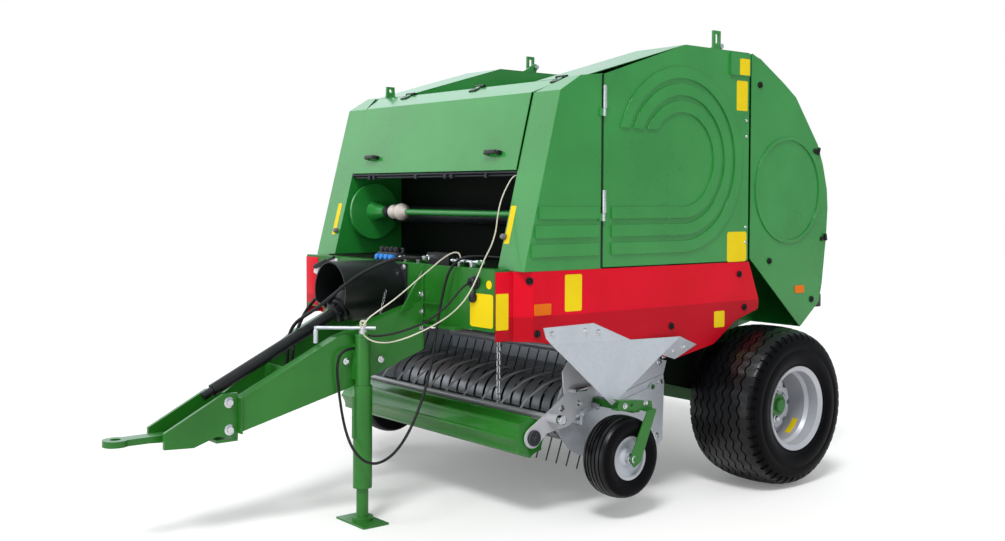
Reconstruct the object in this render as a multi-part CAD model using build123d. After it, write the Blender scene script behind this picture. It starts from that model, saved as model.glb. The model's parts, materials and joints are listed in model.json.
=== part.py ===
from build123d import *
import math
import os

os.makedirs("parts", exist_ok=True)

# Millimetres. +X is the machine's left, +Y its rear, +Z up, the floor is Z = 0.
# Lengthwise places below count from the axle and are moved by AXLE_Y at export.
AXLE_Y = 1439.5

# body, built round the ring of rollers
SIDE_X = 988.0
SKIN = 4.0
SEAM_FRONT = -1304.0
SEAM_GATE = -118.0
DOOR_LOW = 1291.5
ROOF_FRONT_Y = -1444.0
PEAK_Y = -677.0
PILLAR_IN = 783.0
PILLAR_LOW = (-1833.0, 1286.0)

# bale chamber
CHAMBER_Y = -163.0
CHAMBER_Z = 1600.0
ROLLER_RING = 694.0
ROLLER_R = 92.0
ROOF_CLEAR = 107.0
ROOF_Z = CHAMBER_Z + ROLLER_RING + ROLLER_R + ROOF_CLEAR
ROOF_FRONT_Z = ROOF_Z - 226.0
PILLAR_TOP = (-1602.0, ROOF_Z - 306.0)
CORNER_TOP = (-1465.0, ROOF_Z - 223.0)
DOOR_SCALE = (ROOF_Z - DOOR_LOW) / 1201.5
WALL_X = 615.0
WALL_T = 8.0

# wheels
WHEEL_X = 1029.0
WHEEL_Z = 455.0
TYRE_R = 455.0
TYRE_HALF = 240.0
RIM_R = 216.0
GAUGE_X = 1064.0
GAUGE_Y = -1237.0
GAUGE_Z = 320.0
GAUGE_R = 211.0
GAUGE_HALF = 85.0

# pickup
REEL_Y = -1200.0
REEL_Z = 490.0
TINE_R = 300.0
BAND_R = 165.0
PLATE_X = 826.0
LIFT_Y = -760.0
LIFT_Z = 600.0
GUARD_PIVOT = (-1130.0, 800.0)
TUBE_YZ = (-1540.0, 522.0)
ROLLER_YZ = (-1648.0, 430.0)
GUARD_R = 106.0

# front end
BEAM_FRONT = -1950.0
BEAM_LOW = 990.0
BEAM_TOP = 1297.0
EYE_Y = -3471.0
EYE_Z = 497.0
JACK_X = 303.0
JACK_Y = -2317.0

# gate
HINGE_Y = -112.0
HINGE_Z = ROOF_Z
BARREL_BASE = (-300.0, 1250.0)
ROD_EYE = (188.0, 2113.0)
CYL_X = 700.0


def span(x0, x1, y0, y1, z0, z1):
    place = Pos((x0 + x1) / 2, (y0 + y1) / 2, (z0 + z1) / 2)
    return place * Box(abs(x1 - x0), abs(y1 - y0), abs(z1 - z0))


def prismX(points, x0, x1):
    wire = Polyline(*[(x0, y, z) for y, z in points], close=True)
    return extrude(make_face(wire), amount=abs(x1 - x0), dir=(1 if x1 > x0 else -1, 0, 0))


def prismY(points, y0, y1):
    wire = Polyline(*[(x, y0, z) for x, z in points], close=True)
    return extrude(make_face(wire), amount=abs(y1 - y0), dir=(0, 1 if y1 > y0 else -1, 0))


def prismZ(points, z0, z1):
    wire = Polyline(*[(x, y, z0) for x, y in points], close=True)
    return extrude(make_face(wire), amount=abs(z1 - z0), dir=(0, 0, 1 if z1 > z0 else -1))


def rod(p, q, r):
    a = Vector(*p)
    d = Vector(*q) - a
    return extrude(Plane(origin=a, z_dir=d) * Circle(r), amount=d.length)


def pipe(p, q, r, inner):
    return rod(p, q, r) - rod(p, q, inner)


def rodX(x0, x1, y, z, r):
    return rod((x0, y, z), (x1, y, z), r)


def pipeX(x0, x1, y, z, r, inner):
    return pipe((x0, y, z), (x1, y, z), r, inner)


def bar(p, q, width, height, up=(0, 0, 1)):
    a = Vector(*p)
    d = (Vector(*q) - a)
    side = d.cross(Vector(*up))
    return extrude(Plane(origin=a, x_dir=side, z_dir=d) * Rectangle(width, height), amount=d.length)


def turned(profile, x, y, z):
    """Closed (radius, along X) outline turned round the X axis through y, z."""
    wire = Polyline(*[(x + t, y, z + r) for r, t in profile], close=True)
    return revolve(make_face(wire), axis=Axis((x, y, z), (1, 0, 0)))


def sheet(points, thick):
    """Sheet along an open (y, z) line, as a closed outline of that thickness below it."""
    low = []
    n = len(points)
    for i in range(n):
        a = points[max(i - 1, 0)]
        b = points[i]
        c = points[min(i + 1, n - 1)]
        normals = []
        for p, q in ((a, b), (b, c)):
            l = math.hypot(q[0] - p[0], q[1] - p[1])
            if l > 0:
                normals.append(((q[1] - p[1]) / l, -(q[0] - p[0]) / l))
        nx = sum(v[0] for v in normals) / len(normals)
        nz = sum(v[1] for v in normals) / len(normals)
        s = nx * nx + nz * nz
        low.append((b[0] + nx / s * thick, b[1] + nz / s * thick))
    return list(points) + low[::-1]


def both(shape):
    return shape + mirror(shape, about=Plane.YZ)


def joined(items):
    whole = items[0]
    for item in items[1:]:
        whole = whole + item
    return whole


nodes = {}

# outline of the gate from the top of the seam round the rear to its foot, in rows of
# (degrees round the chamber from straight behind, clearance outside the rollers)
GATE_ROWS = [(85.45, 109.8), (81.03, 92.8), (64.03, 38.3), (53.93, 34.3), (28.83, 18.7), (18.82, 20.1),
             (7.91, 27.8), (-0.21, 29.0), (-12.64, 36.9), (-31.74, 111.1), (-38.51, 152.2)]
TIP_ROW = (-53.10, 121.9)


def gatePoint(row):
    a = math.radians(row[0])
    reach = ROLLER_RING + ROLLER_R + row[1]
    return (CHAMBER_Y + reach * math.cos(a), CHAMBER_Z + reach * math.sin(a))


WELD = 0.3
GATE = [gatePoint(row) for row in GATE_ROWS]
GATE_TIP = gatePoint(TIP_ROW)

# chassis: crossbeam, side rails, axle
cross = span(-905, 905, BEAM_FRONT, BEAM_FRONT + 90, BEAM_LOW, BEAM_TOP)
cross = cross - span(-897, 897, BEAM_FRONT + 8, BEAM_FRONT + 82, BEAM_LOW + 8, BEAM_TOP - 8)
cross = cross - span(-125, 125, BEAM_FRONT - 5, BEAM_FRONT + 100, 1060, 1240)
ribs = both(joined([span(328, 470, BEAM_FRONT - 24, BEAM_FRONT + 1, z - 3, z + 3) for z in (1013, 1098)]))
tiePlate = span(330, 640, BEAM_FRONT - 42, BEAM_FRONT + 60, BEAM_LOW - 10, BEAM_LOW)
tiePlate = both(tiePlate - span(500, 590, BEAM_FRONT - 30, BEAM_FRONT - 8, BEAM_LOW - 20, BEAM_LOW + 10))
chainArm = span(428, 623.5, -1560, -1548, 1096, 1120)
rails = both(span(623.3, 720, BEAM_FRONT + 90, -200, 1060, 1180))
outriggers = both(joined([span(720, 983.7, y - 20, y + 20, 1080, 1130) for y in (-1600, -1000, -420)]))
hangers = both(joined([span(740, 752, LIFT_Y - 40, LIFT_Y + 40, 560, 1110),
                       span(720.3, 752, LIFT_Y - 40, LIFT_Y + 40, 1080, 1110),
                       rodX(752, 835, LIFT_Y, LIFT_Z, 15)]))
drops = both(span(623.3, 720, -199.7, 130, 420, 1180))
axle = span(-720, 720, -55, 55, 400, 510)
stubs = both(rodX(720, WHEEL_X + 55, 0, WHEEL_Z, 42))
nodes["chassis_frame"] = joined([cross, ribs, tiePlate, rails, chainArm, outriggers, hangers, drops, axle, stubs])

# drawbar: two deep beams running together to the head
BEAM_SIDE = [(-2905, 663), (-2424, 934), (-2074, 1066), (-1951, 1106), (-1951, 850), (-2358, 675), (-2905, 499)]


def beamBlock(side):
    # the web outline, sheared sideways so that the beam runs outward to the rear
    solid = prismX(BEAM_SIDE, 0, 330)
    plan = prismZ([(64, -2905), (128, -2905), (318, -1951), (248, -1951)], 400, 1200)
    solid = solid & plan
    return solid if side > 0 else mirror(solid, about=Plane.YZ)


beams = beamBlock(1) + beamBlock(-1)
gusset = both(prismX([(-2091, 1052), (-1951, 1260), (-1951, 1090)], 296, 306))
lugPlate = span(250, 322, -1962, -1950.3, 860, 1240)
hoseHolder = span(-116, 116, -2646, -2640, 600, 790)
frontTie = span(-112, 112, -2904.7, -2850, 640, 650)
endPlates = both(span(62, 140, -2904.8, -2897, 492, 668))
nodes["drawbar_beams"] = joined([beams, both(lugPlate), gusset, hoseHolder, frontTie, endPlates])

headSide = both(prismX([(-3279, 458), (-3279, 535), (-2982, 690), (-2905.3, 690), (-2905.3, 470), (-3018, 487),
                        (-3133, 449)], 84, 104))
headFoot = span(-104, 104, -3018, -2906, 455, 470)
headTop = span(-84, 84, -2990, -2906, 560, 578)
headMid = span(-84, 84, -3240, -3050, 478.3, 486)
nodes["drawbar_head"] = joined([headSide, headFoot, headTop, headMid])

shank = span(-42, 42, EYE_Y + 40, -3040, 486.3, 516.3)
ring = Pos(0, EYE_Y, EYE_Z - 10.7) * Cylinder(60, 30, align=(Align.CENTER, Align.CENTER, Align.MIN))
eye = shank + ring - Pos(0, EYE_Y, EYE_Z) * Cylinder(25, 200)
nodes["tow_eye"] = eye

# parking jack
sleeve = pipe((JACK_X, JACK_Y, 176), (JACK_X, JACK_Y, 693), 48.5, 33)
topTube = pipe((JACK_X, JACK_Y, 693), (JACK_X, JACK_Y, 942), 39, 33) + rod((JACK_X, JACK_Y, 942), (JACK_X, JACK_Y, 954), 41)
CRANK_END = (JACK_X - 155, JACK_Y - 183)
crank = joined([rod((JACK_X, JACK_Y, 954), (JACK_X, JACK_Y, 992), 9),
                rod((JACK_X + 38, JACK_Y + 45, 984), (*CRANK_END, 984), 7),
                rod((*CRANK_END, 987), (*CRANK_END, 905), 7),
                rod((JACK_X + 38, JACK_Y + 45, 987), (JACK_X + 38, JACK_Y + 45, 955), 7)])
clip = span(JACK_X + 30, JACK_X + 52, JACK_Y - 12, JACK_Y + 12, 925, 941) + span(JACK_X + 42, JACK_X + 52, JACK_Y - 12, JACK_Y + 12, 925, 968)
strip = span(JACK_X - 10, JACK_X + 10, JACK_Y - 58, JACK_Y - 46, 430, 640)
guide = pipe((JACK_X, JACK_Y, 176), (JACK_X, JACK_Y, 200), 40, 30.8)
bracket = prismZ([(239.9, JACK_Y - 28), (JACK_X - 8, JACK_Y - 28), (JACK_X - 8, JACK_Y + 28), (251.1, JACK_Y + 28)], 720, 900)
bracket = bracket - rod((JACK_X, JACK_Y, 700), (JACK_X, JACK_Y, 920), 34)
nodes["jack_sleeve"] = joined([sleeve, topTube, guide, bracket, crank, clip, strip])
leg = rod((JACK_X, JACK_Y, 14), (JACK_X, JACK_Y, 560), 30.5) + span(JACK_X - 130, JACK_X + 130, JACK_Y - 75, JACK_Y + 75, 0, 10)
leg = leg + rod((JACK_X, JACK_Y, 8), (JACK_X, JACK_Y, 30), 55)
nodes["jack_leg"] = leg

# chamber side walls, rollers and the net compartment
wallOut = [(-1338, 1190), (-1338, ROOF_Z - 199.5), (PEAK_Y, ROOF_Z - 4.6), (-134, ROOF_Z - 4.6), (-134, 720),
           (-640, 720), (-900, 860), (-1100, 1190)]
nodes["chamber_walls"] = both(prismX(wallOut, WALL_X, WALL_X + WALL_T))
frontAngles = [96, 120, 144, 168, 192, 216]
gateAngles = [-72, -48, -24, 0, 24, 48, 72]


ROLLER_WALL = 7.0


def rollerBody():
    # rolled tube with a raised end disc, three lightening holes and a journal at each end
    end = WALL_X - 6
    tube = pipeX(-end, end, 0, 0, ROLLER_R, ROLLER_R - ROLLER_WALL)
    disc = rodX(end - 18, end - 8, 0, 0, ROLLER_R - ROLLER_WALL)
    for k in range(3):
        a = math.radians(90 + 120 * k)
        disc = disc - rodX(end - 20, end - 6, ROLLER_R * 0.58 * math.cos(a), ROLLER_R * 0.58 * math.sin(a), 15)
    return tube + both(disc + rodX(end - 60, WALL_X - 0.3, 0, 0, 25))


rollerShape = rollerBody()


def roller(angle):
    a = math.radians(angle)
    return Pos(0, CHAMBER_Y + ROLLER_RING * math.cos(a), CHAMBER_Z + ROLLER_RING * math.sin(a)) * rollerShape


nodes["front_rollers"] = Compound(children=[roller(a) for a in frontAngles])
nodes["gate_rollers"] = Compound(children=[roller(a) for a in gateAngles])

netFloor = span(-782.7, 782.7, -1870, -1344, 1297.3, 1303.3)
netBack = span(-782.7, 782.7, -1344, -1338.3, 1297.3, ROOF_Z - 309)
nodes["net_box"] = netFloor + netBack
netRoller = rodX(-700, 700, -1440, 1545, 50) + rodX(-708, 782.7, -1440, 1545, 15)
nodes["net_roller"] = netRoller + span(-712, -704, -1462, -1344.3, 1520, 1570)
nodes["intake_wall"] = prismX(sheet([(-1337, 1290), (-1180, 1050), (-960, 900)], SKIN), -WALL_X + 0.3, WALL_X - 0.3)

# front corners: slanted pillar face, side panel with three ribs, inner return, top slope
RIBS = [(1355, 1418), (1448, 1511), (1542, 1604)]
DOOR_HINGES = (DOOR_LOW + 278.5 * DOOR_SCALE, DOOR_LOW + 818.5 * DOOR_SCALE)


def frontCorner():
    side = prismX([PILLAR_LOW, PILLAR_TOP, CORNER_TOP, (SEAM_FRONT - 6, ROOF_Z - 204), (SEAM_FRONT - 6, 1286)],
                  SIDE_X - SKIN, SIDE_X)
    face = prismX(sheet([PILLAR_LOW, PILLAR_TOP], SKIN), PILLAR_IN, SIDE_X - SKIN)
    inner = prismX([(-1829, 1290), (-1606, ROOF_Z - 333), (-1470, ROOF_Z - 265), (-1338.3, ROOF_Z - 257), (-1338.3, 1290)],
                   PILLAR_IN, PILLAR_IN + SKIN)
    plan = prismZ([(792, -1602), (SIDE_X - 2, -1602), (SIDE_X - 2, -1464), (904, -1450)], ROOF_Z - 393, ROOF_Z)
    top = prismX(sheet([PILLAR_TOP, CORNER_TOP], SKIN), PILLAR_IN, SIDE_X - 2) & plan
    parts = [side, face, inner, top]
    for z in DOOR_HINGES:
        parts.append(rod((996, SEAM_FRONT, z - 40), (996, SEAM_FRONT, z - 0.3), 8))
        parts.append(span(SIDE_X - 2, 996, SEAM_FRONT - 30, SEAM_FRONT - 2, z - 40, z - 0.3))
    for low, high in RIBS:
        t = (low - PILLAR_LOW[1]) / (PILLAR_TOP[1] - PILLAR_LOW[1])
        y = PILLAR_LOW[0] + t * (PILLAR_TOP[0] - PILLAR_LOW[0])
        parts.append(span(SIDE_X - 1, SIDE_X + 9, y + 26, SEAM_FRONT - 30, low, high))
    return joined(parts)


corner = frontCorner()
nodes["front_corners"] = both(corner)

# roof and lifting eyes
roofLine = [(ROOF_FRONT_Y, ROOF_FRONT_Z), (PEAK_Y, ROOF_Z), (-130, ROOF_Z)]
roofStrip = prismX(sheet(roofLine, SKIN), WALL_X, 977)
middleLine = [(ROOF_FRONT_Y, ROOF_FRONT_Z), (-600, ROOF_Z - 105), (-380, ROOF_Z - 88), (-134, ROOF_Z - 88)]
middle = prismX(sheet(middleLine, SKIN), 0.3 - WALL_X, WALL_X - 0.3)
frontFold = span(-977, 977, ROOF_FRONT_Y + 1, ROOF_FRONT_Y + 5, ROOF_FRONT_Z - 35, ROOF_FRONT_Z)
roof = joined([both(roofStrip), middle, frontFold])
roofKnuckles = both(joined([rodX(x, x + 40, HINGE_Y, HINGE_Z, 12) + span(x, x + 40, -150, HINGE_Y, ROOF_Z - 9, ROOF_Z - 0.1)
                           for x in (640, 820)]))
HOOD_HINGE = (ROOF_FRONT_Y, ROOF_Z - 220.0)
HOOD_HINGE_X = (-540, 139, 823)
hoodSeats = []
for x in HOOD_HINGE_X:
    roof = roof - span(x - 18, x + 18, -1460, -1434, ROOF_Z - 243, ROOF_Z - 203)
    hoodSeats.append(rodX(x - 40, x - 16, HOOD_HINGE[0], HOOD_HINGE[1], 7))
    hoodSeats.append(rodX(x + 16, x + 40, HOOD_HINGE[0], HOOD_HINGE[1], 7))
nodes["roof_panel"] = joined([roof, roofKnuckles] + hoodSeats)


def liftEye(x, y, z):
    plate = span(x - 7, x + 7, y - 32, y + 32, z, z + 135)
    return plate - span(x - 20, x + 20, y - 14, y + 14, z + 55, z + 115)


frontEye = prismX([(-1432, ROOF_FRONT_Z + 4.2), (-1368, ROOF_FRONT_Z + 23), (-1372, ROOF_FRONT_Z + 74),
                   (-1428, ROOF_FRONT_Z + 74)], -837, -823)
frontEye = frontEye - rodX(-840, -820, -1400, ROOF_FRONT_Z + 50, 12)
nodes["lifting_eyes"] = joined([liftEye(830, -235, ROOF_Z + 0.3), liftEye(-830, -235, ROOF_Z + 0.3), frontEye])

# red skirts


def skirt():
    upper = prismX([(-1773, 1284.7), (-1773, 1070), (-20, 1055), (-115, 1284.7)], SIDE_X - SKIN, SIDE_X)
    lower = prismX([(-1773, 1070), (-1773, 940), (-727, 775), (-422, 828), (-235, 947), (-30, 1005), (-20, 1055)],
                   SIDE_X - SKIN, SIDE_X)
    front = prismZ([(SIDE_X, -1773), (918, -1846), (862, -1846), (862, -1842), (916, -1842), (SIDE_X - 4, -1771)],
                   940, 1284.7)
    return joined([upper, lower, front])


nodes["skirts"] = both(skirt())

# drive line: gearbox, big shield, slanted shaft
nodes["gearbox"] = joined([span(-120, 120, -1955, -1720, 1065, 1235) - rod((0, -1975, 1150), (0, -1940, 1150), 24.3), span(-165, 165, -1960, -1950.3, 1000, 1290),
                           rod((0, -1720, 1150), (0, -1650, 1150), 60)])
shield = pipe((0, -2330, 1150), (0, -1960.3, 1150), 158, 150)
shield = shield - prismX([(-2340, 900), (-2340, 1100), (-2200, 980), (-2200, 900)], -200, 200)
nodes["pto_shield"] = shield
ptoBase = (0, -2110, 1130)
ptoEnd = (0, -2990, 695)
shaft = joined([rod((0, -1964, 1150), ptoBase, 24),
                rod(ptoBase, ptoEnd, 32),
                rod((0, -2100, 1135), (0, -2180, 1095), 86),
                rod((0, -2180, 1095), (0, -2235, 1068), 66),
                rod((0, -2235, 1068), (0, -2285, 1043), 46),
                rod(ptoEnd, (0, -3040, 670), 22)])
nodes["pto_shaft"] = shaft

nodes["valve_block"] = joined([span(330, 520, -1940, -1880, 1297.3, 1360),
                               both(span(60, 90, -1940, -1900, 1297.3, 1310))])

# hood over the net compartment
HOOD_Z = ROOF_Z - 704.0
hoodFront = prismX(sheet([(-1712, HOOD_Z), (-1611, ROOF_Z - 306)], SKIN), -PILLAR_IN + 6, PILLAR_IN - 6)
hoodPlan = prismZ([(-770, -1612), (770, -1612), (881, -1452), (-881, -1452)], ROOF_Z - 393, ROOF_Z)
hoodTop = prismX(sheet([(-1611, ROOF_Z - 306), (-1450, ROOF_Z - 228)], SKIN), -890, 890) & hoodPlan
hoodLip = prismX([(-1712, HOOD_Z), (-1680, HOOD_Z), (-1680, HOOD_Z + 4), (-1711, HOOD_Z + 4)], -PILLAR_IN + 6, PILLAR_IN - 6)
hoodTabs = []
for x in HOOD_HINGE_X:
    hoodTabs.append(rodX(x - 15.7, x + 15.7, HOOD_HINGE[0], HOOD_HINGE[1], 7))
    leaf = [(-1475, ROOF_Z - 241), (-1475, ROOF_Z - 234), (-1452, ROOF_Z - 219), (-1447, ROOF_Z - 220), (-1450, ROOF_Z - 229)]
    hoodTabs.append(prismX(leaf, x - 15.7, x + 15.7))
nodes["hood"] = joined([hoodFront, hoodTop, hoodLip] + hoodTabs)

# side doors with three nested ridges
RIDGE_Y = -700.0
FLANGE = 38.0
RIDGE_Z = DOOR_LOW + 570.5 * DOOR_SCALE
RIDGE_END = DOOR_LOW + 725.5 * DOOR_SCALE
RIDGES = [(out * DOOR_SCALE, ins * DOOR_SCALE) for out, ins in ((507, 444), (414, 351), (320, 258))]


def ridge(x, out, ins):
    disc = pipeX(x, x + 10, RIDGE_Y, RIDGE_Z, out, ins)
    disc = disc - span(x - 5, x + 20, RIDGE_Y - 700, RIDGE_Y, RIDGE_Z - 700, RIDGE_END)
    straight = span(x, x + 10, SEAM_FRONT + 60, RIDGE_Y, RIDGE_Z - out, RIDGE_Z - ins)
    return disc + straight


def door():
    line = [(SEAM_FRONT + 5, DOOR_LOW), (SEAM_FRONT + 5, ROOF_Z - 205), (PEAK_Y, ROOF_Z), (-126, ROOF_Z), (-126, DOOR_LOW)]
    panel = prismX(line, SIDE_X - 5, SIDE_X)
    parts = [panel]
    for out, ins in RIDGES:
        parts.append(ridge(SIDE_X - 1, out, ins))
    parts.append(span(SIDE_X - 1, SIDE_X + 12, -303, -130, ROOF_Z - 137, ROOF_Z - 9))
    inner = SIDE_X - FLANGE
    parts.append(span(inner, SIDE_X - 4, SEAM_FRONT + 5, SEAM_FRONT + 9, DOOR_LOW, ROOF_Z - 223))
    parts.append(span(inner, SIDE_X - 4, -130, -126, DOOR_LOW, ROOF_Z - 23))
    parts.append(span(inner, SIDE_X - 4, SEAM_FRONT + 5, -126, DOOR_LOW, DOOR_LOW + 4))
    for z in DOOR_HINGES:
        parts.append(rod((996, SEAM_FRONT, z), (996, SEAM_FRONT, z + 120), 8))
        parts.append(span(986, 996, SEAM_FRONT + 5, SEAM_FRONT + 30, z, z + 120))
    return joined(parts)


nodes["door_left"] = door()
nodes["door_right"] = mirror(door(), about=Plane.YZ)

# tailgate: skin, side covers, inner walls
skinLine = GATE + [GATE_TIP]
gateSkin = prismX(sheet(skinLine, SKIN), -982.7, 982.7)
skinInner = sheet(skinLine, SKIN + WELD)[len(skinLine):][::-1]
gateWall = prismX([(-104, skinInner[0][1])] + skinInner + [(60, 820), (-104, 820)], WALL_X, WALL_X + WALL_T)
gateKnuckles = both(joined([rodX(x, x + 40, HINGE_Y, HINGE_Z, 12) + span(x, x + 40, HINGE_Y, -80, ROOF_Z - 9, ROOF_Z - 0.1)
                           for x in (680.3, 860.3)]))
nodes["gate_shell"] = gateSkin + gateKnuckles + both(gateWall)


def gateCover():
    line = [(-106, 1300), (-106, ROOF_Z - 5)] + GATE[1:] + [GATE_TIP, (-60, 1262)]
    plate = prismX(line, SIDE_X - 5, SIDE_X)
    round_ = pipeX(SIDE_X - 1, SIDE_X + 8, 252, 1704, 318, 300)
    return plate + round_


nodes["gate_covers"] = both(gateCover())

# gate cylinders
aim = (ROD_EYE[0] - BARREL_BASE[0], ROD_EYE[1] - BARREL_BASE[1])
aimLength = math.hypot(*aim)
aimUnit = (aim[0] / aimLength, aim[1] / aimLength)


def along(x, t):
    return (x, BARREL_BASE[0] + aimUnit[0] * t, BARREL_BASE[1] + aimUnit[1] * t)


def barrel(x):
    tube = pipe(along(x, 40), along(x, 690), 38, 30)
    base = rod(along(x, 24), along(x, 40), 38)
    gland = pipe(along(x, 690), along(x, 715), 42, 20.4)
    eye = rodX(x - 22, x + 22, BARREL_BASE[0], BARREL_BASE[1], 30) - rodX(x - 30, x + 30, BARREL_BASE[0], BARREL_BASE[1], 15.5)
    return joined([tube, base, gland, eye]) - rodX(x - 30, x + 30, BARREL_BASE[0], BARREL_BASE[1], 15.5)


def ram(x):
    shank = rod(along(x, 60), along(x, aimLength - 20), 20)
    eye = rodX(x - 20, x + 20, ROD_EYE[0], ROD_EYE[1], 30)
    side = 1 if x > 0 else -1
    pin = rodX(side * (WALL_X + WALL_T + 0.5), x + side * 30, ROD_EYE[0], ROD_EYE[1], 15)
    return joined([shank, eye, pin])


nodes["barrel_left"] = barrel(CYL_X)
nodes["barrel_right"] = barrel(-CYL_X)
nodes["ram_left"] = ram(CYL_X)
nodes["ram_right"] = ram(-CYL_X)
basePin = rodX(WALL_X + WALL_T + WELD, CYL_X + 26, BARREL_BASE[0], BARREL_BASE[1], 15)
nodes["chamber_walls"] = Compound(children=list(nodes["chamber_walls"].solids()) + list(both(basePin).solids()))

# road wheels
TYRE = [(219, -204), (250, -222), (300, -238), (350, -240), (400, -230), (435, -205), (451, -170), (455, -90),
        (455, 90), (451, 170), (435, 205), (400, 230), (350, 240), (300, 238), (250, 222), (219, 204),
        (219, 190), (260, 206), (350, 216), (420, 190), (432, 120), (432, -120), (420, -190), (350, -216),
        (260, -206), (219, -190)]
RIM = [(218.7, -204.6), (240, -218), (240, -225), (212, -212), (210, -150), (196, -130), (196, 130), (210, 150),
       (212, 212), (240, 225), (240, 218), (218.7, 204.6), (216, 150), (202, 132), (202, -132), (216, -150)]


def dish(x, s):
    return turned([(52, s * 40), (140, s * 60), (196.3, s * 20), (196.3, s * 8), (140, s * 48), (52, s * 28)], x, 0, WHEEL_Z)


def roadWheel(s):
    x = s * WHEEL_X
    tyre = turned([(r, s * t) for r, t in TYRE], x, 0, WHEEL_Z)
    disc = dish(x, s)
    for k in range(8):
        a = math.radians(45 * k)
        disc = disc - rodX(x - 80, x + 80, 148 * math.cos(a), WHEEL_Z + 148 * math.sin(a), 21)
    rim = turned([(r, s * t) for r, t in RIM], x, 0, WHEEL_Z) + disc
    hub = rodX(x - s * 15, x + s * 95, 0, WHEEL_Z, 62)
    hub = hub - rodX(x - s * 16, x + s * 60, 0, WHEEL_Z, 42.3)
    return tyre, rim + hub


for side, s in (("left", 1), ("right", -1)):
    tyre, rim = roadWheel(s)
    nodes["tyre_" + side] = tyre
    nodes["rim_" + side] = rim

GAUGE_TYRE = [(105, -62), (125, -74), (160, -85), (192, -78), (208, -50), (211, -20), (211, 20), (208, 50), (192, 78),
              (160, 85), (125, 74), (105, 62), (105, 52), (130, 62), (160, 70), (184, 64), (196, 40), (198, 0),
              (196, -40), (184, -64), (160, -70), (130, -62), (105, -52)]
GAUGE_RIM = [(104.7, -62.5), (112, -67.5), (112, -71), (98, -68), (92, -30), (92, 30), (98, 68), (112, 71), (112, 67.5),
             (104.7, 62.5), (97, 30), (97, -30)]
for side, s in (("left", 1), ("right", -1)):
    x = s * GAUGE_X
    nodes["gauge_tyre_" + side] = turned([(r, s * t) for r, t in GAUGE_TYRE], x, GAUGE_Y, GAUGE_Z)
    rim = turned([(r, s * t) for r, t in GAUGE_RIM], x, GAUGE_Y, GAUGE_Z)
    rim = rim + (rodX(x + s * 8, x + s * 14, GAUGE_Y, GAUGE_Z, 93) - rodX(x, x + s * 20, GAUGE_Y, GAUGE_Z, 20))
    rim = rim + (rodX(x - s * 40, x + s * 78, GAUGE_Y, GAUGE_Z, 28) - rodX(x - s * 60, x + s * 90, GAUGE_Y, GAUGE_Z, 15.3))
    nodes["gauge_rim_" + side] = rim

# pickup frame: side plates with pressed ribs and adjusting screws, rear sheet, cross tube
PLATE = [(-1400, 793), (-1430, 660), (-1475, 530), (-1225, 280), (-706, 266), (-669, 297), (-658, 620),
         (-669, 650), (-640, 735), (-900, 793), (-1075, 793), (-1095, 832), (-1165, 832), (-1185, 793)]
PLATE_ARC = (-1225.0, 530.0, 250.0)
ADJUSTER = ((-1380, 514), (-1225, 550))


def pickupSide():
    plate = prismX(PLATE, PLATE_X, PLATE_X + 6) + rodX(PLATE_X, PLATE_X + 6, *PLATE_ARC)
    ribs = joined([bar((PLATE_X + 7, -1010, z), (PLATE_X + 7, -670, z + 78), 22, 8, (1, 0, 0)) for z in (535, 575)])
    pivot = rodX(PLATE_X - 36, PLATE_X + 16, LIFT_Y, LIFT_Z, 26)
    first, last = ADJUSTER
    screw = rod((885, *first), (885, *last), 8)
    for share in (0.22, 0.3, 0.92):
        y = first[0] + share * (last[0] - first[0])
        z = first[1] + share * (last[1] - first[1])
        screw = screw + rod((885, y, z), (885, y + 12, z + 3), 16)
    seats = joined([span(PLATE_X + 5, 893, last[0] - 4, last[0] + 4, last[1] - 18, last[1] + 14),
                    span(PLATE_X + 5, 893, -1349, -1341, 468, 488),
                    span(877, 893, -1349, -1341, 468, 526)])
    whole = joined([plate, ribs, pivot, screw, seats])
    return whole - rodX(PLATE_X - 40, PLATE_X + 20, LIFT_Y, LIFT_Z, 15.3)


nodes["pickup_frame"] = joined([both(pickupSide()), span(-PLATE_X, PLATE_X, -895, -889, 345, 740),
                                rodX(-PLATE_X, PLATE_X, -900, 765, 26)])


def gaugeBracket():
    tube = span(PLATE_X + 6.3, 1126, -1213, -1163, 548, 588)
    web = prismX([(-1327, 572), (-1314, 625), (-1079, 597), (-1069, 548)], 1125, 1131)
    web = web - joined([rodX(1120, 1140, y, 592, 9) for y in (-1275, -1225, -1125)])
    top = prismX([(-1314, 625), (-1314, 619), (-1079, 591), (-1079, 597)], 1088, 1126)
    low = prismX([(-1327, 572), (-1327, 578), (-1069, 554), (-1069, 548)], 1088, 1126)
    knee = span(1126, 1164, -1140, -1078, 552, 560)
    leg = prismX([(-1140, 560), (-1078, 552), (-1190, 300), (-1237, 278), (-1262, 310), (-1252, 350)], 1156, 1164)
    spindle = rodX(GAUGE_X - 40, 1172, GAUGE_Y, GAUGE_Z, 15)
    return joined([tube, web, top, low, knee, leg, spindle])


nodes["gauge_brackets"] = both(gaugeBracket())


def facet(points, thick):
    wire = Polyline(*points, close=True)
    a, b, c = (Vector(*p) for p in points[:3])
    way = (b - a).cross(c - a).normalized()
    if way.X < 0:
        way = way * -1
    return extrude(make_face(wire), amount=thick, dir=way)


# deflector: a strip bolted to the skirt, a big panel leaning outward at its tip, a folded rear ear
DX = SIDE_X + 0.3
DEFLECT = {"a": (DX, -1708, 1005), "b": (DX, -1364, 1008), "c": (DX, -1092, 902), "k": (DX, -1661, 925),
           "n": (DX, -1690, 953), "d": (DX + 30, -738, 897), "e": (DX + 4, -575, 839), "f": (DX + 4, -752, 772),
           "h": (DX + 34, -885, 809), "g": (DX + 42, -1270, 581)}
deflector = joined([facet([DEFLECT[k] for k in keys], 3) for keys in ("abckn", "kcg", "cdg", "def", "dfh")])
nodes["deflectors"] = both(deflector)

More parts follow.
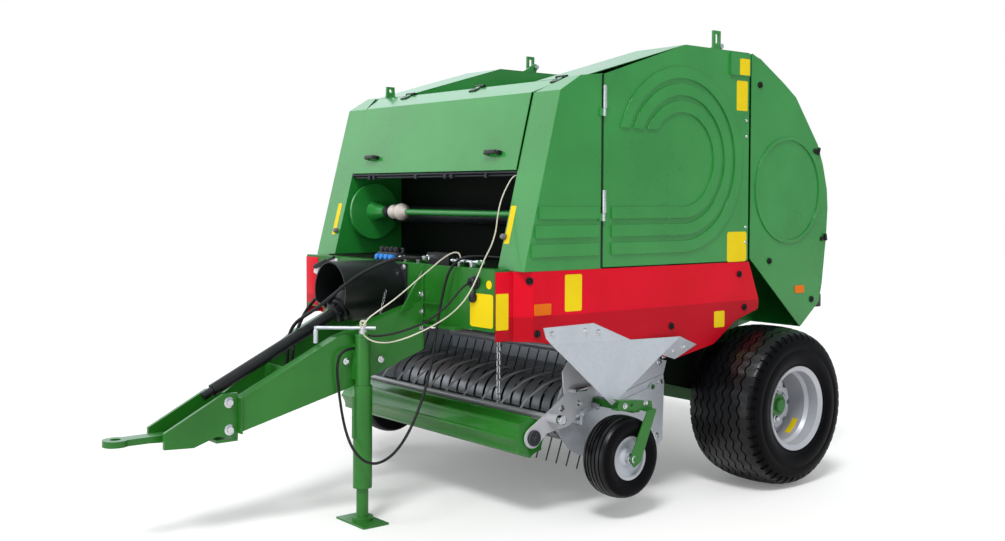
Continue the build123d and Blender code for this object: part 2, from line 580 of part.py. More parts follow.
# stripper bands round the reel, one between each pair of tine rows
BAND_PITCH = 82.5
BAND_HALF = 31.0
BANDS = 20
bandParts = []
ringOut = BAND_R
for i in range(BANDS):
    x = (i - (BANDS - 1) / 2) * BAND_PITCH
    left, right = x - BAND_HALF, x + BAND_HALF
    half = pipeX(left, right, REEL_Y, REEL_Z, ringOut, ringOut - 3)
    half = half - span(left - 9, right + 9, REEL_Y, REEL_Y + 400, REEL_Z - 400, REEL_Z + 400)
    topRun = prismX([(REEL_Y, REEL_Z + ringOut), (-895.4, 668), (-895.4, 665), (REEL_Y, REEL_Z + ringOut - 3)], left, right)
    lowRun = prismX([(REEL_Y, REEL_Z - ringOut), (-895.4, 352), (-895.4, 355), (REEL_Y, REEL_Z - ringOut + 3)], left, right)
    bandParts.append(joined([half, topRun, lowRun]))
nodes["stripper_bands"] = Compound(children=bandParts)

# tined reel: tube, four tine bars, double tines in the gaps
reel = rodX(-PLATE_X + 8, PLATE_X - 8, REEL_Y, REEL_Z, 55) + rodX(-PLATE_X + 0.3, PLATE_X - 0.3, REEL_Y, REEL_Z, 25)
tines = []
for j in range(4):
    a = math.radians(7.5 + 90 * j)
    by = REEL_Y + 125 * math.cos(a)
    bz = REEL_Z + 125 * math.sin(a)
    tines.append(rodX(-PLATE_X + 8, PLATE_X - 8, by, bz, 14))
    for i in range(1, BANDS):
        x = (i - BANDS / 2) * BAND_PITCH
        lean = a - math.radians(16)
        tip = (x, REEL_Y + TINE_R * math.cos(lean), REEL_Z + TINE_R * math.sin(lean))
        tines.append(rod((x, by, bz), tip, 4))
for x in (-PLATE_X + 8, -12.0 * 2, 12.0 * 2, PLATE_X - 14):
    tines.append(rodX(x, x + 6, REEL_Y, REEL_Z, 142))
nodes["tine_reel"] = joined([reel] + tines)

# windguard: tube, curved rods over every second band, plate arms, gas struts
ROD_LINE = [(-1534.6, 537.2), (-1495, 578), (-1440, 608), (-1370, 642), (-1290, 664), (-1190, 673), (-1080, 684)]
ARM = [(-1412, 796), (-1448, 746), (-1438, 645), (-1433, 625), (-1530, 560), (-1668, 480), (-1690, 395),
       (-1630, 379), (-1555, 442), (-1405, 462), (-1254, 555), (-1204, 640), (-1095, 765), (-1100, 830), (-1165, 838)]
rods = []
for i in range(9):
    x = -701.25 + i * 2 * BAND_PITCH
    rods.append(joined([rod((x, *p), (x, *q), 6) for p, q in zip(ROD_LINE, ROD_LINE[1:])]))


def guardArm():
    plate = prismX(ARM, 842, 852) + rodX(842, 852, *ROLLER_YZ, 53)
    bearing = rodX(838.3, 864, *ROLLER_YZ, 30) - rodX(860, 870, *ROLLER_YZ, 18)
    sleeve = rodX(842, 958, *TUBE_YZ, 24)
    strut = rod((876, -1400, 647), (876, -1300, 655), 14) + rod((876, -1300, 655), (876, -1240, 660), 9)
    pins = rodX(850, 892, -1400, 647, 9) + rodX(850, 886, -1246, 659.5, 8)
    pivot = rodX(832.3, 861, *GUARD_PIVOT, 28)
    return joined([plate, bearing, sleeve, strut, pins, pivot])


chainEye = span(436, 444, TUBE_YZ[0] - 11, TUBE_YZ[0] + 11, TUBE_YZ[1] + 10, TUBE_YZ[1] + 34)
chainEye = chainEye - rodX(430, 450, TUBE_YZ[0], TUBE_YZ[1] + 22.75, 6)
guardTube = joined([rodX(-851, 851, *TUBE_YZ, 16), both(guardArm()), chainEye])
nodes["windguard"] = Compound(children=list(guardTube.solids()) + rods)

# support chain: flat stadium links, each turned a quarter against the last
LINK = (38.0, 13.0, 6.5)


def chainLink(z, turn):
    pitch, inner, wire = LINK
    outer = inner / 2 + wire
    loop = extrude(Plane.XZ * SlotCenterToCenter(pitch - inner, 2 * outer, rotation=90), wire / 2, both=True)
    loop = loop - extrude(Plane.XZ * SlotCenterToCenter(pitch - inner, inner, rotation=90), wire, both=True)
    return Pos(440, TUBE_YZ[0], z) * Rot(0, 0, turn) * loop


links = [chainLink(TUBE_YZ[1] + 45 + (LINK[0] - 0.4) * i, 90 * (i % 2)) for i in range(13)]
nodes["support_chain"] = Compound(children=links)
guard = pipeX(-826, 826, 0, 0, 100, 94)
for k in range(8):
    a = math.radians(45 * k)
    guard = guard + rodX(-826, 826, 97 * math.cos(a), 97 * math.sin(a), 9)
guard = guard - rodX(-900, 900, 0, 0, 94)
guard = guard + both(rodX(800, 810, 0, 0, 94.5) + rodX(790, 838, 0, 0, 22))
nodes["guard_roller"] = Pos(0, ROLLER_YZ[0], ROLLER_YZ[1]) * guard

# net spindle with its disc and cones
NET_Y = -1580.0
NET_Z = 1560.0
spindle = joined([rodX(-740, -722, NET_Y, NET_Z, 170),
                  rodX(-782.7, -740, NET_Y, NET_Z, 30),
                  turned([(0, 0), (60, 0), (30, 120), (18, 120), (0, 120)], -722, NET_Y, NET_Z),
                  rodX(-602, 782.7, NET_Y, NET_Z, 18),
                  turned([(0, -60), (34, -30), (46, 0), (34, 30), (0, 60)], -440, NET_Y, NET_Z)])
nodes["net_spindle"] = spindle

# cords: straight runs with tangent arcs, each from one carrier to the next
CORDS = {
    "cable_loop": (7.0, [(268, -2345.3, 880), (268, -2420, 880), (255, -2442, 800), (252, -2432, 710),
                         (256, -2422, 620), (270, -2415, 535), (302, -2412, 458), (354, -2409, 392), (425, -2401, 347),
                         (507, -2388, 338), (580, -2363, 366), (628, -2325, 422), (646, -2277, 496), (640, -2225, 575),
                         (621, -2173, 656), (598, -2125, 739), (577, -2084, 826), (557, -2053, 917),
                         (545, -2029, 1010), (545, -2009, 1103), (555, -1995, 1195), (585, -1985, 1285),
                         (625, -1945, 1345), (665, -1875, 1352), (712, -1790, 1345), (782.7, -1790, 1345)]),
    "cable_socket": (5.5, [(759, -1950.3, 1229), (759, -2000, 1229), (750, -2045, 1192), (738, -2080, 1147),
                           (721, -2118, 1104), (695, -2152, 1068), (661, -2186, 1038), (620, -2219, 1013),
                           (574, -2248, 992), (524, -2275, 974), (470, -2302, 961), (415, -2317, 953),
                           (355.3, -2317, 952)]),
    "rope": (3.5, [(782.7, -1690, 1765), (734, -1690, 1765), (734, -1738, 1700), (748, -1785, 1635), (768, -1822, 1560),
                   (792, -1850, 1485), (812, -1895, 1410), (818, -1945, 1345), (808, -1975, 1268), (782, -1998, 1192),
                   (745, -2028, 1122), (695, -2066, 1064), (640, -2110, 1018), (583, -2162, 978), (526, -2218, 943),
                   (462, -2276, 920), (405, -2332, 926), (376, -2378, 972), (405, -2362, 1040), (442, -2305, 1088),
                   (463, -2236, 1135), (471, -2167, 1184), (479, -2100, 1235), (500, -2037, 1286), (528, -1985, 1338),
                   (560, -1935, 1372), (590, -1915, 1360), (592, -1913, 1297.4)]),
    "hose_over": (9.0, [(345, -1940.3, 1330), (345, -2005, 1330), (280, -2058, 1334), (205, -2110, 1312),
                        (176, -2185, 1275), (170, -2265, 1238), (172, -2345, 1195), (165, -2420, 1138),
                        (120, -2475, 1080), (45, -2505, 1035), (-35, -2520, 990), (-80, -2528, 925),
                        (-90, -2528, 862), (-90, -2528, 800), (-90, -2535, 760), (-90, -2561, 729),
                        (-90, -2600, 718), (-90, -2639.7, 718)]),
    "hose_side": (9.0, [(-232, -1950.3, 1215), (-232, -2040, 1215), (-246, -2125, 1190), (-246, -2200, 1148),
                        (-236, -2268, 1102), (-210, -2332, 1058), (-170, -2392, 1012), (-130, -2445, 955),
                        (-92, -2490, 892), (-62, -2515, 830), (-48, -2527, 770), (-45, -2532, 712),
                        (-45, -2545, 674), (-45, -2573, 645), (-45, -2606, 634), (-45, -2639.7, 634)]),
}


def cord(radius, points):
    bends = []
    for p, q, r in zip(points, points[1:], points[2:]):
        u = Vector(*q) - Vector(*p)
        v = Vector(*r) - Vector(*q)
        turn = math.radians(u.get_angle(v))
        bends.append(0.45 * min(u.length, v.length) / math.tan(turn / 2))
    print("bends", round(min(bends), 1), "diameters", round(min(bends) / radius / 2, 1))
    path = FilletPolyline(*points, radius=bends)
    start = Vector(*points[0])
    return sweep(Plane(origin=start, z_dir=Vector(*points[1]) - start) * Circle(radius), path=path)


for name, (radius, points) in CORDS.items():
    nodes[name] = cord(radius, points)

for name, shape in nodes.items():
    moved = Pos(0, AXLE_Y, 0) * shape
    solids = moved.solids()
    moved = solids[0] if len(solids) == 1 else Compound(children=list(solids))
    moved.label = name
    export_step(moved, "parts/" + name + ".step")
    box = moved.bounding_box()
    print(name, len(solids), [round(v, 1) for v in (*box.min, *box.max)])
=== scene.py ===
import bpy
import json
import math
from mathutils import Matrix, Vector


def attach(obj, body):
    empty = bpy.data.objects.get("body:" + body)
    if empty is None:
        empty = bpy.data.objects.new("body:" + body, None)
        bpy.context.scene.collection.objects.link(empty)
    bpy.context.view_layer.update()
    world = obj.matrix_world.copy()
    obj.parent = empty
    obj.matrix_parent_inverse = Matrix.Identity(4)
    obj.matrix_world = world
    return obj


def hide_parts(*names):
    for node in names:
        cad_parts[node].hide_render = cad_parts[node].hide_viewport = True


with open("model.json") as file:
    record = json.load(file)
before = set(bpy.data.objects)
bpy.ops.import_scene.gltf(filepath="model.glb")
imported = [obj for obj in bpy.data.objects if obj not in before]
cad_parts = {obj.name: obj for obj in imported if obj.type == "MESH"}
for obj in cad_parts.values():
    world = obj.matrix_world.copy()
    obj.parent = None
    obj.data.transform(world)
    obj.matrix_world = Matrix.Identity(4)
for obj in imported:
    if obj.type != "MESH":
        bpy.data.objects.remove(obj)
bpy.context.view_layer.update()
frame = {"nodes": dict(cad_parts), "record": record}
axleY = 1.4395  # places below count from the axle; this moves them into the frame
bpy.ops.object.select_all(action='DESELECT')
print("frame loaded")
sides = ((1, "left"), (-1, "right"))


# camera fitted to the view; place in the frame, angles in degrees
camera = dict(
    place=(5.2039, -3.9969, 1.6457), yaw=50.5804, pitch=-1.0845, roll=0.347, lens=40.915, shift=-0.0506, sensor=36,
    near=0.05)


def aimCamera():
    yaw, pitch, roll = (math.radians(camera[k]) for k in ("yaw", "pitch", "roll"))
    ahead = Vector((-math.sin(yaw) * math.cos(pitch), math.cos(yaw) * math.cos(pitch), math.sin(pitch)))
    right = Vector((math.cos(yaw), math.sin(yaw), 0))
    up = right.cross(ahead)
    across = right * math.cos(roll) + up * math.sin(roll)
    upright = up * math.cos(roll) - right * math.sin(roll)
    bpy.ops.object.camera_add(location=camera["place"])
    cam = bpy.context.object
    cam.rotation_euler = Matrix((across, upright, -ahead)).transposed().to_euler()
    cam.data.lens = camera["lens"]
    cam.data.sensor_width = camera["sensor"]
    cam.data.shift_y = camera["shift"]
    cam.data.clip_start = camera["near"]
    bpy.context.scene.camera = cam


aimCamera()
bpy.context.scene.view_settings.view_transform = 'Standard'


def put(node, socket, value):
    node.inputs[socket].default_value = value


def wire(tree, *links):
    # each link: node, its output, the next node, its input
    for a, out, b, into in links:
        tree.links.new(a.outputs[out], b.inputs[into])


def addNode(tree, kind, x=0, y=0, **values):
    node = tree.nodes.new(kind if kind.startswith("NodeGroup") else "ShaderNode" + kind)
    node.location = (x, y)
    for key, value in values.items():
        setattr(node, key, value)
    return node


def ramp(tree, low, high, x=0, y=0, to=(0, 1)):
    node = addNode(tree, "MapRange", x, y, clamp=True)
    for socket, value in zip(("From Min", "From Max", "To Min", "To Max"), (low, high, *to)):
        put(node, socket, value)
    return node


def mathNode(tree, operation, a=None, b=None, x=0, y=0):
    node = addNode(tree, "Math", x, y, operation=operation)
    if a is not None:
        put(node, 0, a)
    if b is not None:
        put(node, 1, b)
    return node


def startGroup(name, inputs, outputs):
    group = bpy.data.node_groups.new(name, 'ShaderNodeTree')
    for label, value in inputs.items():
        socket = group.interface.new_socket(label, in_out='INPUT', socket_type='NodeSocketFloat')
        socket.default_value = value
    for label in outputs:
        group.interface.new_socket(label, in_out='OUTPUT', socket_type='NodeSocketFloat')
    return group, addNode(group, "NodeGroupInput", -900), addNode(group, "NodeGroupOutput", 700)


def edgeWearGroup():
    # lighter edges: where a rounded normal leaves the true one, broken up by noise; worn bare metal on the steels, a
    # painted highlight on the green and red paint
    group, ins, outs = startGroup("edgeWearAndHighlight", {"Radius": 0.004, "Amount": 0.5, "Patches": 9.0}, ["Mask"])
    coords = addNode(group, "TexCoord", -700, -200)
    bevel = addNode(group, "Bevel", -700, 100, samples=4)
    true = addNode(group, "NewGeometry", -700, -50)
    dot = addNode(group, "VectorMath", -500, 50, operation='DOT_PRODUCT')
    turned = mathNode(group, 'SUBTRACT', 1.0, x=-300, y=50)
    sharp = ramp(group, 0.02, 0.22, -120, 50)
    noise = addNode(group, "TexNoise", -500, -250)
    put(noise, "Detail", 6)
    broken = ramp(group, 0.42, 0.62, -120, -250)
    both = mathNode(group, 'MULTIPLY', x=100)
    out = mathNode(group, 'MULTIPLY', x=300)
    wire(
        group, (ins, "Radius", bevel, "Radius"), (bevel, "Normal", dot, 0), (true, "Normal", dot, 1),
        (dot, "Value", turned, 1), (turned, 0, sharp, "Value"), (coords, "Object", noise, "Vector"),
        (ins, "Patches", noise, "Scale"), (noise, "Fac", broken, "Value"), (sharp, 0, both, 0), (broken, 0, both, 1),
        (both, 0, out, 0), (ins, "Amount", out, 1), (out, 0, outs, "Mask"))
    return group


def roadDustGroup():
    # pale dust that thins out with height and gathers on faces that look up
    group, ins, outs = startGroup("roadDust", {"Height": 0.9, "Amount": 0.4, "Grain": 14.0}, ["Mask"])
    coords = addNode(group, "TexCoord", -700, -200)
    split = addNode(group, "SeparateXYZ", -500, -100)
    fade = mathNode(group, 'DIVIDE', x=-300, y=-50)
    low = mathNode(group, 'SUBTRACT', 1.0, x=-120, y=-50)
    low.use_clamp = True
    geo = addNode(group, "NewGeometry", -700, 150)
    facing = addNode(group, "SeparateXYZ", -500, 150)
    upward = ramp(group, 0.2, 1.0, -300, 150)
    gather = mathNode(group, 'MULTIPLY_ADD', b=0.6, x=-120, y=150)
    put(gather, 2, 0.4)
    noise = addNode(group, "TexNoise", -300, -300)
    put(noise, "Detail", 8)
    put(noise, "Roughness", 0.65)
    spots = ramp(group, 0.4, 0.75, -120, -300)
    first = mathNode(group, 'MULTIPLY', x=100, y=50)
    second = mathNode(group, 'MULTIPLY', x=280)
    third = mathNode(group, 'MULTIPLY', x=460)
    wire(
        group, (coords, "Object", split, 0), (split, "Z", fade, 0), (ins, "Height", fade, 1), (fade, 0, low, 1),
        (geo, "Normal", facing, 0), (facing, "Z", upward, "Value"), (upward, 0, gather, 0),
        (coords, "Object", noise, "Vector"), (ins, "Grain", noise, "Scale"), (noise, "Fac", spots, "Value"),
        (low, 0, first, 0), (gather, 0, first, 1), (first, 0, second, 0), (spots, 0, second, 1),
        (second, 0, third, 0), (ins, "Amount", third, 1), (third, 0, outs, "Mask"))
    return group


def surfaceGrainGroup():
    # fine relief of a coat or casting, with a slow change of tone
    group, ins, outs = startGroup("surfaceGrain", {"Fine": 900.0, "Broad": 2.5}, ["Relief", "Tone"])
    coords = addNode(group, "TexCoord", -700)
    fine = addNode(group, "TexNoise", -400, 100)
    put(fine, "Detail", 3)
    broad = addNode(group, "TexNoise", -400, -150)
    put(broad, "Detail", 5)
    wire(
        group, (coords, "Object", fine, "Vector"), (coords, "Object", broad, "Vector"), (ins, "Fine", fine, "Scale"),
        (ins, "Broad", broad, "Scale"), (fine, "Fac", outs, "Relief"), (broad, "Fac", outs, "Tone"))
    return group


edgeWearAndHighlight = edgeWearGroup()
roadDust = roadDustGroup()
surfaceGrain = surfaceGrainGroup()


def startMaterial(name):
    mat = bpy.data.materials.new(name)
    mat.use_nodes = True
    tree = mat.node_tree
    return mat, tree, tree.nodes["Principled BSDF"]


def mixColor(tree, a, b, x, y):
    node = addNode(tree, "Mix", x, y, data_type='RGBA')
    put(node, "A", (*a, 1) if a else (0, 0, 0, 1))
    put(node, "B", (*b, 1) if b else (0, 0, 0, 1))
    return node


# painted shade below a sheet's fold line: the width of its soft edge, its strength and its colour
paintedFoldShade = dict(blur=0.003, amount=0.36, shade=(0.12, 0.0, 0.003))


def finishCoat(name, finish):
    # one coat: two tones, painted shade below a fold, lighter edges (worn metal on steel, painted highlight on green
    # and red paint), dust, grain; the values come from the piece's own table
    mat, tree, shader = startMaterial(name)
    grain = addNode(tree, "Group", -1100, 0, node_tree=surfaceGrain)
    put(grain, "Fine", finish.get("fine", 900))
    tones = mixColor(tree, finish["dark"], finish["light"], -800, 200)
    toneSpan = ramp(tree, 0.35, 0.65, -950, 200)
    wire(tree, (grain, "Tone", toneSpan, "Value"), (toneSpan, 0, tones, "Factor"))
    last = tones
    if finish.get("fold"):
        # painted shade: below its fold line the real sheet leans inward and takes less light, so the flat sheet is
        # painted darker there
        coords = addNode(tree, "TexCoord", -1300, 450)
        split = addNode(tree, "SeparateXYZ", -1150, 450)
        below = ramp(tree, finish["fold"] + paintedFoldShade["blur"], finish["fold"] - paintedFoldShade["blur"], -950, 450,
                     to=(0, paintedFoldShade["amount"]))
        foldShaded = mixColor(tree, None, paintedFoldShade["shade"], -650, 350)
        wire(
            tree, (coords, "Object", split, 0), (split, "Z", below, "Value"), (last, "Result", foldShaded, "A"),
            (below, 0, foldShaded, "Factor"))
        last = foldShaded
    # lighter edges: worn metal on the steels, a painted highlight on the green and red paint
    if finish.get("wearAndHighlight"):
        wearAndHighlight = addNode(tree, "Group", -800, -100, node_tree=edgeWearAndHighlight)
        put(wearAndHighlight, "Amount", finish["wearAndHighlight"])
        edgeToned = mixColor(tree, None, finish["wearAndHighlightColor"], -550, 150)
        wire(tree, (last, "Result", edgeToned, "A"), (wearAndHighlight, "Mask", edgeToned, "Factor"))
        last = edgeToned
    if finish.get("dust"):
        dust = addNode(tree, "Group", -550, -150, node_tree=roadDust)
        put(dust, "Amount", finish["dust"])
        put(dust, "Height", finish.get("dustHeight", 1.2))
        dusty = mixColor(tree, None, finish.get("dustColor", (0.36, 0.33, 0.28)), -320, 120)
        wire(tree, (last, "Result", dusty, "A"), (dust, "Mask", dusty, "Factor"))
        last = dusty
    wire(tree, (last, "Result", shader, "Base Color"))
    rough = ramp(tree, 0.2, 0.8, -800, -350, to=finish["rough"])
    wire(tree, (grain, "Tone", rough, "Value"), (rough, 0, shader, "Roughness"))
    bump = addNode(tree, "Bump", -250, -350)
    put(bump, "Strength", finish.get("relief", 0.05))
    put(bump, "Distance", finish.get("depth", 0.0006))
    wire(tree, (grain, "Relief", bump, "Height"))
    if finish.get("soft"):
        rounded = addNode(tree, "Bevel", -450, -500, samples=4)
        put(rounded, "Radius", finish["soft"])
        wire(tree, (rounded, "Normal", bump, "Normal"))
    wire(tree, (bump, "Normal", shader, "Normal"))
    put(shader, "Metallic", finish.get("metal", 0.0))
    put(shader, "Specular IOR Level", finish.get("shine", 0.5))
    if finish.get("treadShine"):
        # worn tread is glossier than the walls, which look along the axle
        geo = addNode(tree, "NewGeometry", -900, -650)
        split = addNode(tree, "SeparateXYZ", -700, -650)
        along = mathNode(tree, 'ABSOLUTE', x=-500, y=-650)
        dull = ramp(tree, 0.25, 0.75, -300, -650, to=(finish["treadShine"], finish["shine"]))
        wire(
            tree, (geo, "Normal", split, 0), (split, "X", along, 0), (along, 0, dull, "Value"),
            (dull, 0, shader, "Specular IOR Level"))
    if finish.get("coat"):
        put(shader, "Coat Weight", finish["coat"])
        put(shader, "Coat Roughness", 0.08)
    return mat


# green paint: its lighter green edges are a painted highlight
greenPaint = finishCoat("greenPaint", dict(
    dark=(0.013, 0.205, 0.028), light=(0.019, 0.245, 0.038), rough=(0.24, 0.34), relief=0.04, fine=420, wearAndHighlight=0.35,
    wearAndHighlightColor=(0.09, 0.34, 0.12), dust=0.04, coat=0.3, soft=0.004))
# red paint: painted shade below the fold line at 1.062, and its lighter red edges are a painted highlight
redPaint = finishCoat("redPaint", dict(
    dark=(0.58, 0.0006, 0.012), light=(0.66, 0.001, 0.018), rough=(0.3, 0.4), shine=0.12, relief=0.04, fine=420,
    wearAndHighlight=0.25, wearAndHighlightColor=(0.75, 0.05, 0.06), dust=0.05, fold=1.062, soft=0.004))
greyPaint = finishCoat("greyPaint", dict(
    dark=(0.1, 0.1, 0.1), light=(0.16, 0.16, 0.16), rough=(0.35, 0.5), relief=0.05, wearAndHighlight=0.3,
    wearAndHighlightColor=(0.35, 0.35, 0.35)))
# dark paint: the parts' own dark green, deepened to near black as painted shade for the machine's interior
darkPaintAndShade = finishCoat("darkPaintAndShade", dict(
    dark=(0.0006, 0.0022, 0.0008), light=(0.0012, 0.0042, 0.0015), rough=(0.55, 0.7), shine=0.12, relief=0.06))
# frame green: the frame's own yellower green, painted darker than the sheet green as painted shade; its lighter green
# edges are a painted highlight
frameGreenPaintedShade = finishCoat("frameGreenPaintedShade", dict(
    dark=(0.01, 0.125, 0.008), light=(0.016, 0.16, 0.014), rough=(0.26, 0.36), shine=0.35, relief=0.05, fine=380,
    wearAndHighlight=0.35, wearAndHighlightColor=(0.08, 0.3, 0.06), dust=0.08, coat=0.15, soft=0.004))
wheelSilver = finishCoat("wheelSilver", dict(
    dark=(0.4, 0.41, 0.45), light=(0.5, 0.51, 0.55), rough=(0.32, 0.45), metal=0.35, relief=0.05, fine=700, wearAndHighlight=0.3,
    wearAndHighlightColor=(0.66, 0.67, 0.7), dust=0.2, dustHeight=0.8))
darkSteel = finishCoat("darkSteel", dict(
    dark=(0.022, 0.023, 0.03), light=(0.045, 0.047, 0.058), rough=(0.34, 0.5), metal=0.6, relief=0.12, fine=260,
    wearAndHighlight=0.6, wearAndHighlightColor=(0.32, 0.32, 0.34), dust=0.1, dustHeight=1.6))
brightSteel = finishCoat("brightSteel", dict(
    dark=(0.56, 0.57, 0.59), light=(0.7, 0.71, 0.73), rough=(0.16, 0.28), metal=1.0, relief=0.03))
blackPlastic = finishCoat("blackPlastic", dict(
    dark=(0.0035, 0.0038, 0.0048), light=(0.008, 0.0085, 0.01), rough=(0.28, 0.42), shine=0.35, relief=0.1, fine=1200,
    dust=0.03, dustHeight=2.4))
tyreRubber = finishCoat("tyreRubber", dict(
    dark=(0.0018, 0.0018, 0.0024), light=(0.0042, 0.0042, 0.0052), rough=(0.26, 0.38), shine=0.05, treadShine=0.42,
    relief=0.14, fine=700, dust=0.05, dustHeight=0.9, dustColor=(0.05, 0.05, 0.055)))
creamCord = finishCoat("creamCord", dict(
    dark=(0.42, 0.4, 0.31), light=(0.62, 0.6, 0.5), rough=(0.7, 0.85), relief=0.5, fine=1500, depth=0.0008))
decalYellow = finishCoat("decalYellow", dict(
    dark=(0.72, 0.53, 0.003), light=(0.8, 0.6, 0.005), rough=(0.35, 0.5), shine=0.12, relief=0.02, dust=0.08,
    dustHeight=2.6))
reflectorOrange = finishCoat("reflectorOrange", dict(
    dark=(0.62, 0.12, 0.001), light=(0.76, 0.18, 0.001), rough=(0.2, 0.3), shine=0.15, relief=0.6, fine=260,
    depth=0.001))
lampRed = finishCoat("lampRed", dict(
    dark=(0.3, 0.004, 0.006), light=(0.42, 0.008, 0.01), rough=(0.1, 0.18), relief=0.5, fine=200, depth=0.001,
    coat=0.8))
palePaint = finishCoat("palePaint", dict(
    dark=(0.62, 0.63, 0.64), light=(0.72, 0.73, 0.74), rough=(0.3, 0.4), relief=0.04))
blueCap = finishCoat("blueCap", dict(
    dark=(0.004, 0.14, 0.52), light=(0.01, 0.22, 0.7), rough=(0.25, 0.35), relief=0.05))
palePlastic = finishCoat("palePlastic", dict(
    dark=(0.5, 0.44, 0.4), light=(0.64, 0.58, 0.53), rough=(0.4, 0.55), relief=0.08, fine=600))
blackRubber = finishCoat("blackRubber", dict(
    dark=(0.003, 0.003, 0.0034), light=(0.0065, 0.0065, 0.007), rough=(0.45, 0.6), shine=0.3, relief=0.15, fine=900))


def galvanisedSheet():
    # zinc spangle: crystals of slightly different grey and gloss
    mat, tree, shader = startMaterial("galvanised")
    coords = addNode(tree, "TexCoord", -1200)
    crystals = addNode(tree, "TexVoronoi", -1000, 100, feature='F1')
    put(crystals, "Scale", 55)
    put(crystals, "Randomness", 1)
    gray = addNode(tree, "RGBToBW", -800, 100)
    cloud = addNode(tree, "TexNoise", -1000, -200)
    put(cloud, "Scale", 3)
    put(cloud, "Detail", 5)
    sheet = mixColor(tree, (0.52, 0.55, 0.6), (0.58, 0.61, 0.66), -550, 150)
    clouded = mixColor(tree, None, (0.47, 0.5, 0.55), -300, 150)
    cloudSpan = ramp(tree, 0.5, 0.85, -550, -150)
    wearAndHighlight = addNode(tree, "Group", -550, -350, node_tree=edgeWearAndHighlight)
    put(wearAndHighlight, "Amount", 0.4)
    edgeToned = mixColor(tree, None, (0.74, 0.75, 0.77), -100, 150)
    rough = ramp(tree, 0, 1, -550, 350, to=(0.36, 0.52))
    wire(
        tree, (coords, "Object", crystals, "Vector"), (coords, "Object", cloud, "Vector"),
        (crystals, "Color", gray, 0), (gray, 0, sheet, "Factor"), (sheet, "Result", clouded, "A"),
        (cloud, "Fac", cloudSpan, "Value"), (cloudSpan, 0, clouded, "Factor"), (clouded, "Result", edgeToned, "A"),
        (wearAndHighlight, "Mask", edgeToned, "Factor"), (edgeToned, "Result", shader, "Base Color"), (gray, 0, rough, "Value"),
        (rough, 0, shader, "Roughness"))
    put(shader, "Metallic", 0.55)
    return mat


galvanised = galvanisedSheet()
# windguard steel: the galvanised rods made paler and less metallic, painted light for rods that lie in shade
guardSteelPaintedLight = finishCoat("guardSteelPaintedLight", dict(
    dark=(0.46, 0.47, 0.5), light=(0.56, 0.57, 0.6), rough=(0.3, 0.42), metal=0.15, relief=0.05, wearAndHighlight=0.4,
    wearAndHighlightColor=(0.7, 0.71, 0.73)))
# stripper band steel: made paler, a painted reflection of the bright floor and sky in front
bandSteelPaintedLight = finishCoat("bandSteelPaintedLight", dict(
    dark=(0.3, 0.31, 0.34), light=(0.44, 0.45, 0.49), rough=(0.28, 0.42), metal=0.45, relief=0.05, wearAndHighlight=0.7,
    wearAndHighlightColor=(0.5, 0.52, 0.55)))
print("materials made")

slotFinish = dict(
    green_paint=greenPaint, red_paint=redPaint, dark_paint=darkPaintAndShade, grey_paint=greyPaint, silver_paint=wheelSilver,
    galvanised=galvanised, dark_steel=darkSteel, bright_steel=brightSteel, black_plastic=blackPlastic,
    tyre_rubber=tyreRubber, cream_cord=creamCord)
for part in frame["record"]["subparts"]:
    node = frame["nodes"][part["node"]]
    node.data.materials.clear()
    node.data.materials.append(slotFinish[part["material_slot"]])
# frame parts take the darker frame green, partly painted shade; bands and windguard take paler steels, painted light
ownFinish = dict(
    drawbar_beams=frameGreenPaintedShade, drawbar_head=frameGreenPaintedShade, tow_eye=frameGreenPaintedShade, jack_sleeve=frameGreenPaintedShade,
    jack_leg=frameGreenPaintedShade, chassis_frame=frameGreenPaintedShade, gauge_brackets=frameGreenPaintedShade, stripper_bands=bandSteelPaintedLight,
    windguard=guardSteelPaintedLight)
for name, finish in ownFinish.items():
    frame["nodes"][name].data.materials[0] = finish
slotOf = {finish.name: slot for slot, finish in slotFinish.items()}
slotOf |= dict(frameGreenPaintedShade="green_paint", blackRubber="black_plastic", palePaint="silver_paint")
print("CAD nodes painted")


def deselect():
    if bpy.context.object and bpy.context.object.mode != 'OBJECT':
        bpy.ops.object.mode_set(mode='OBJECT')
    bpy.ops.object.select_all(action='DESELECT')


def selectAll():
    bpy.ops.mesh.select_all(action='SELECT')


def startLine(name, first):
    # a single vertex that the outline grows from
    deselect()
    bpy.ops.mesh.primitive_plane_add(size=0.01, location=first)
    piece = bpy.context.object
    piece.name = name
    bpy.ops.object.mode_set(mode='EDIT')
    bpy.ops.mesh.select_mode(type='VERT')
    selectAll()
    bpy.ops.mesh.merge(type='CENTER')
    return piece


def drawLine(points):
    for here, there in zip(points, points[1:]):
        bpy.ops.mesh.extrude_region_move(TRANSFORM_OT_translate={"value": Vector(there) - Vector(here)})


def settle(piece, smooth=35):
    # outside normals, soft shading, place in the mesh
    if piece.mode != 'EDIT':
        bpy.context.view_layer.objects.active = piece
        bpy.ops.object.mode_set(mode='EDIT')
    selectAll()
    bpy.ops.mesh.remove_doubles(threshold=0.00005)
    bpy.ops.mesh.normals_make_consistent(inside=False)
    bpy.ops.object.mode_set(mode='OBJECT')
    deselect()
    piece.select_set(True)
    bpy.context.view_layer.objects.active = piece
    bpy.ops.object.transform_apply(location=True, rotation=True, scale=True)
    if smooth:
        bpy.ops.object.shade_smooth_by_angle(angle=math.radians(smooth))


def hand(piece, body, finish, stands=()):
    # give the piece its finish and the body that it moves with
    piece.data.materials.clear()
    piece.data.materials.append(finish)
    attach(piece, body)
    if stands:
        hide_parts(*stands)
    return piece


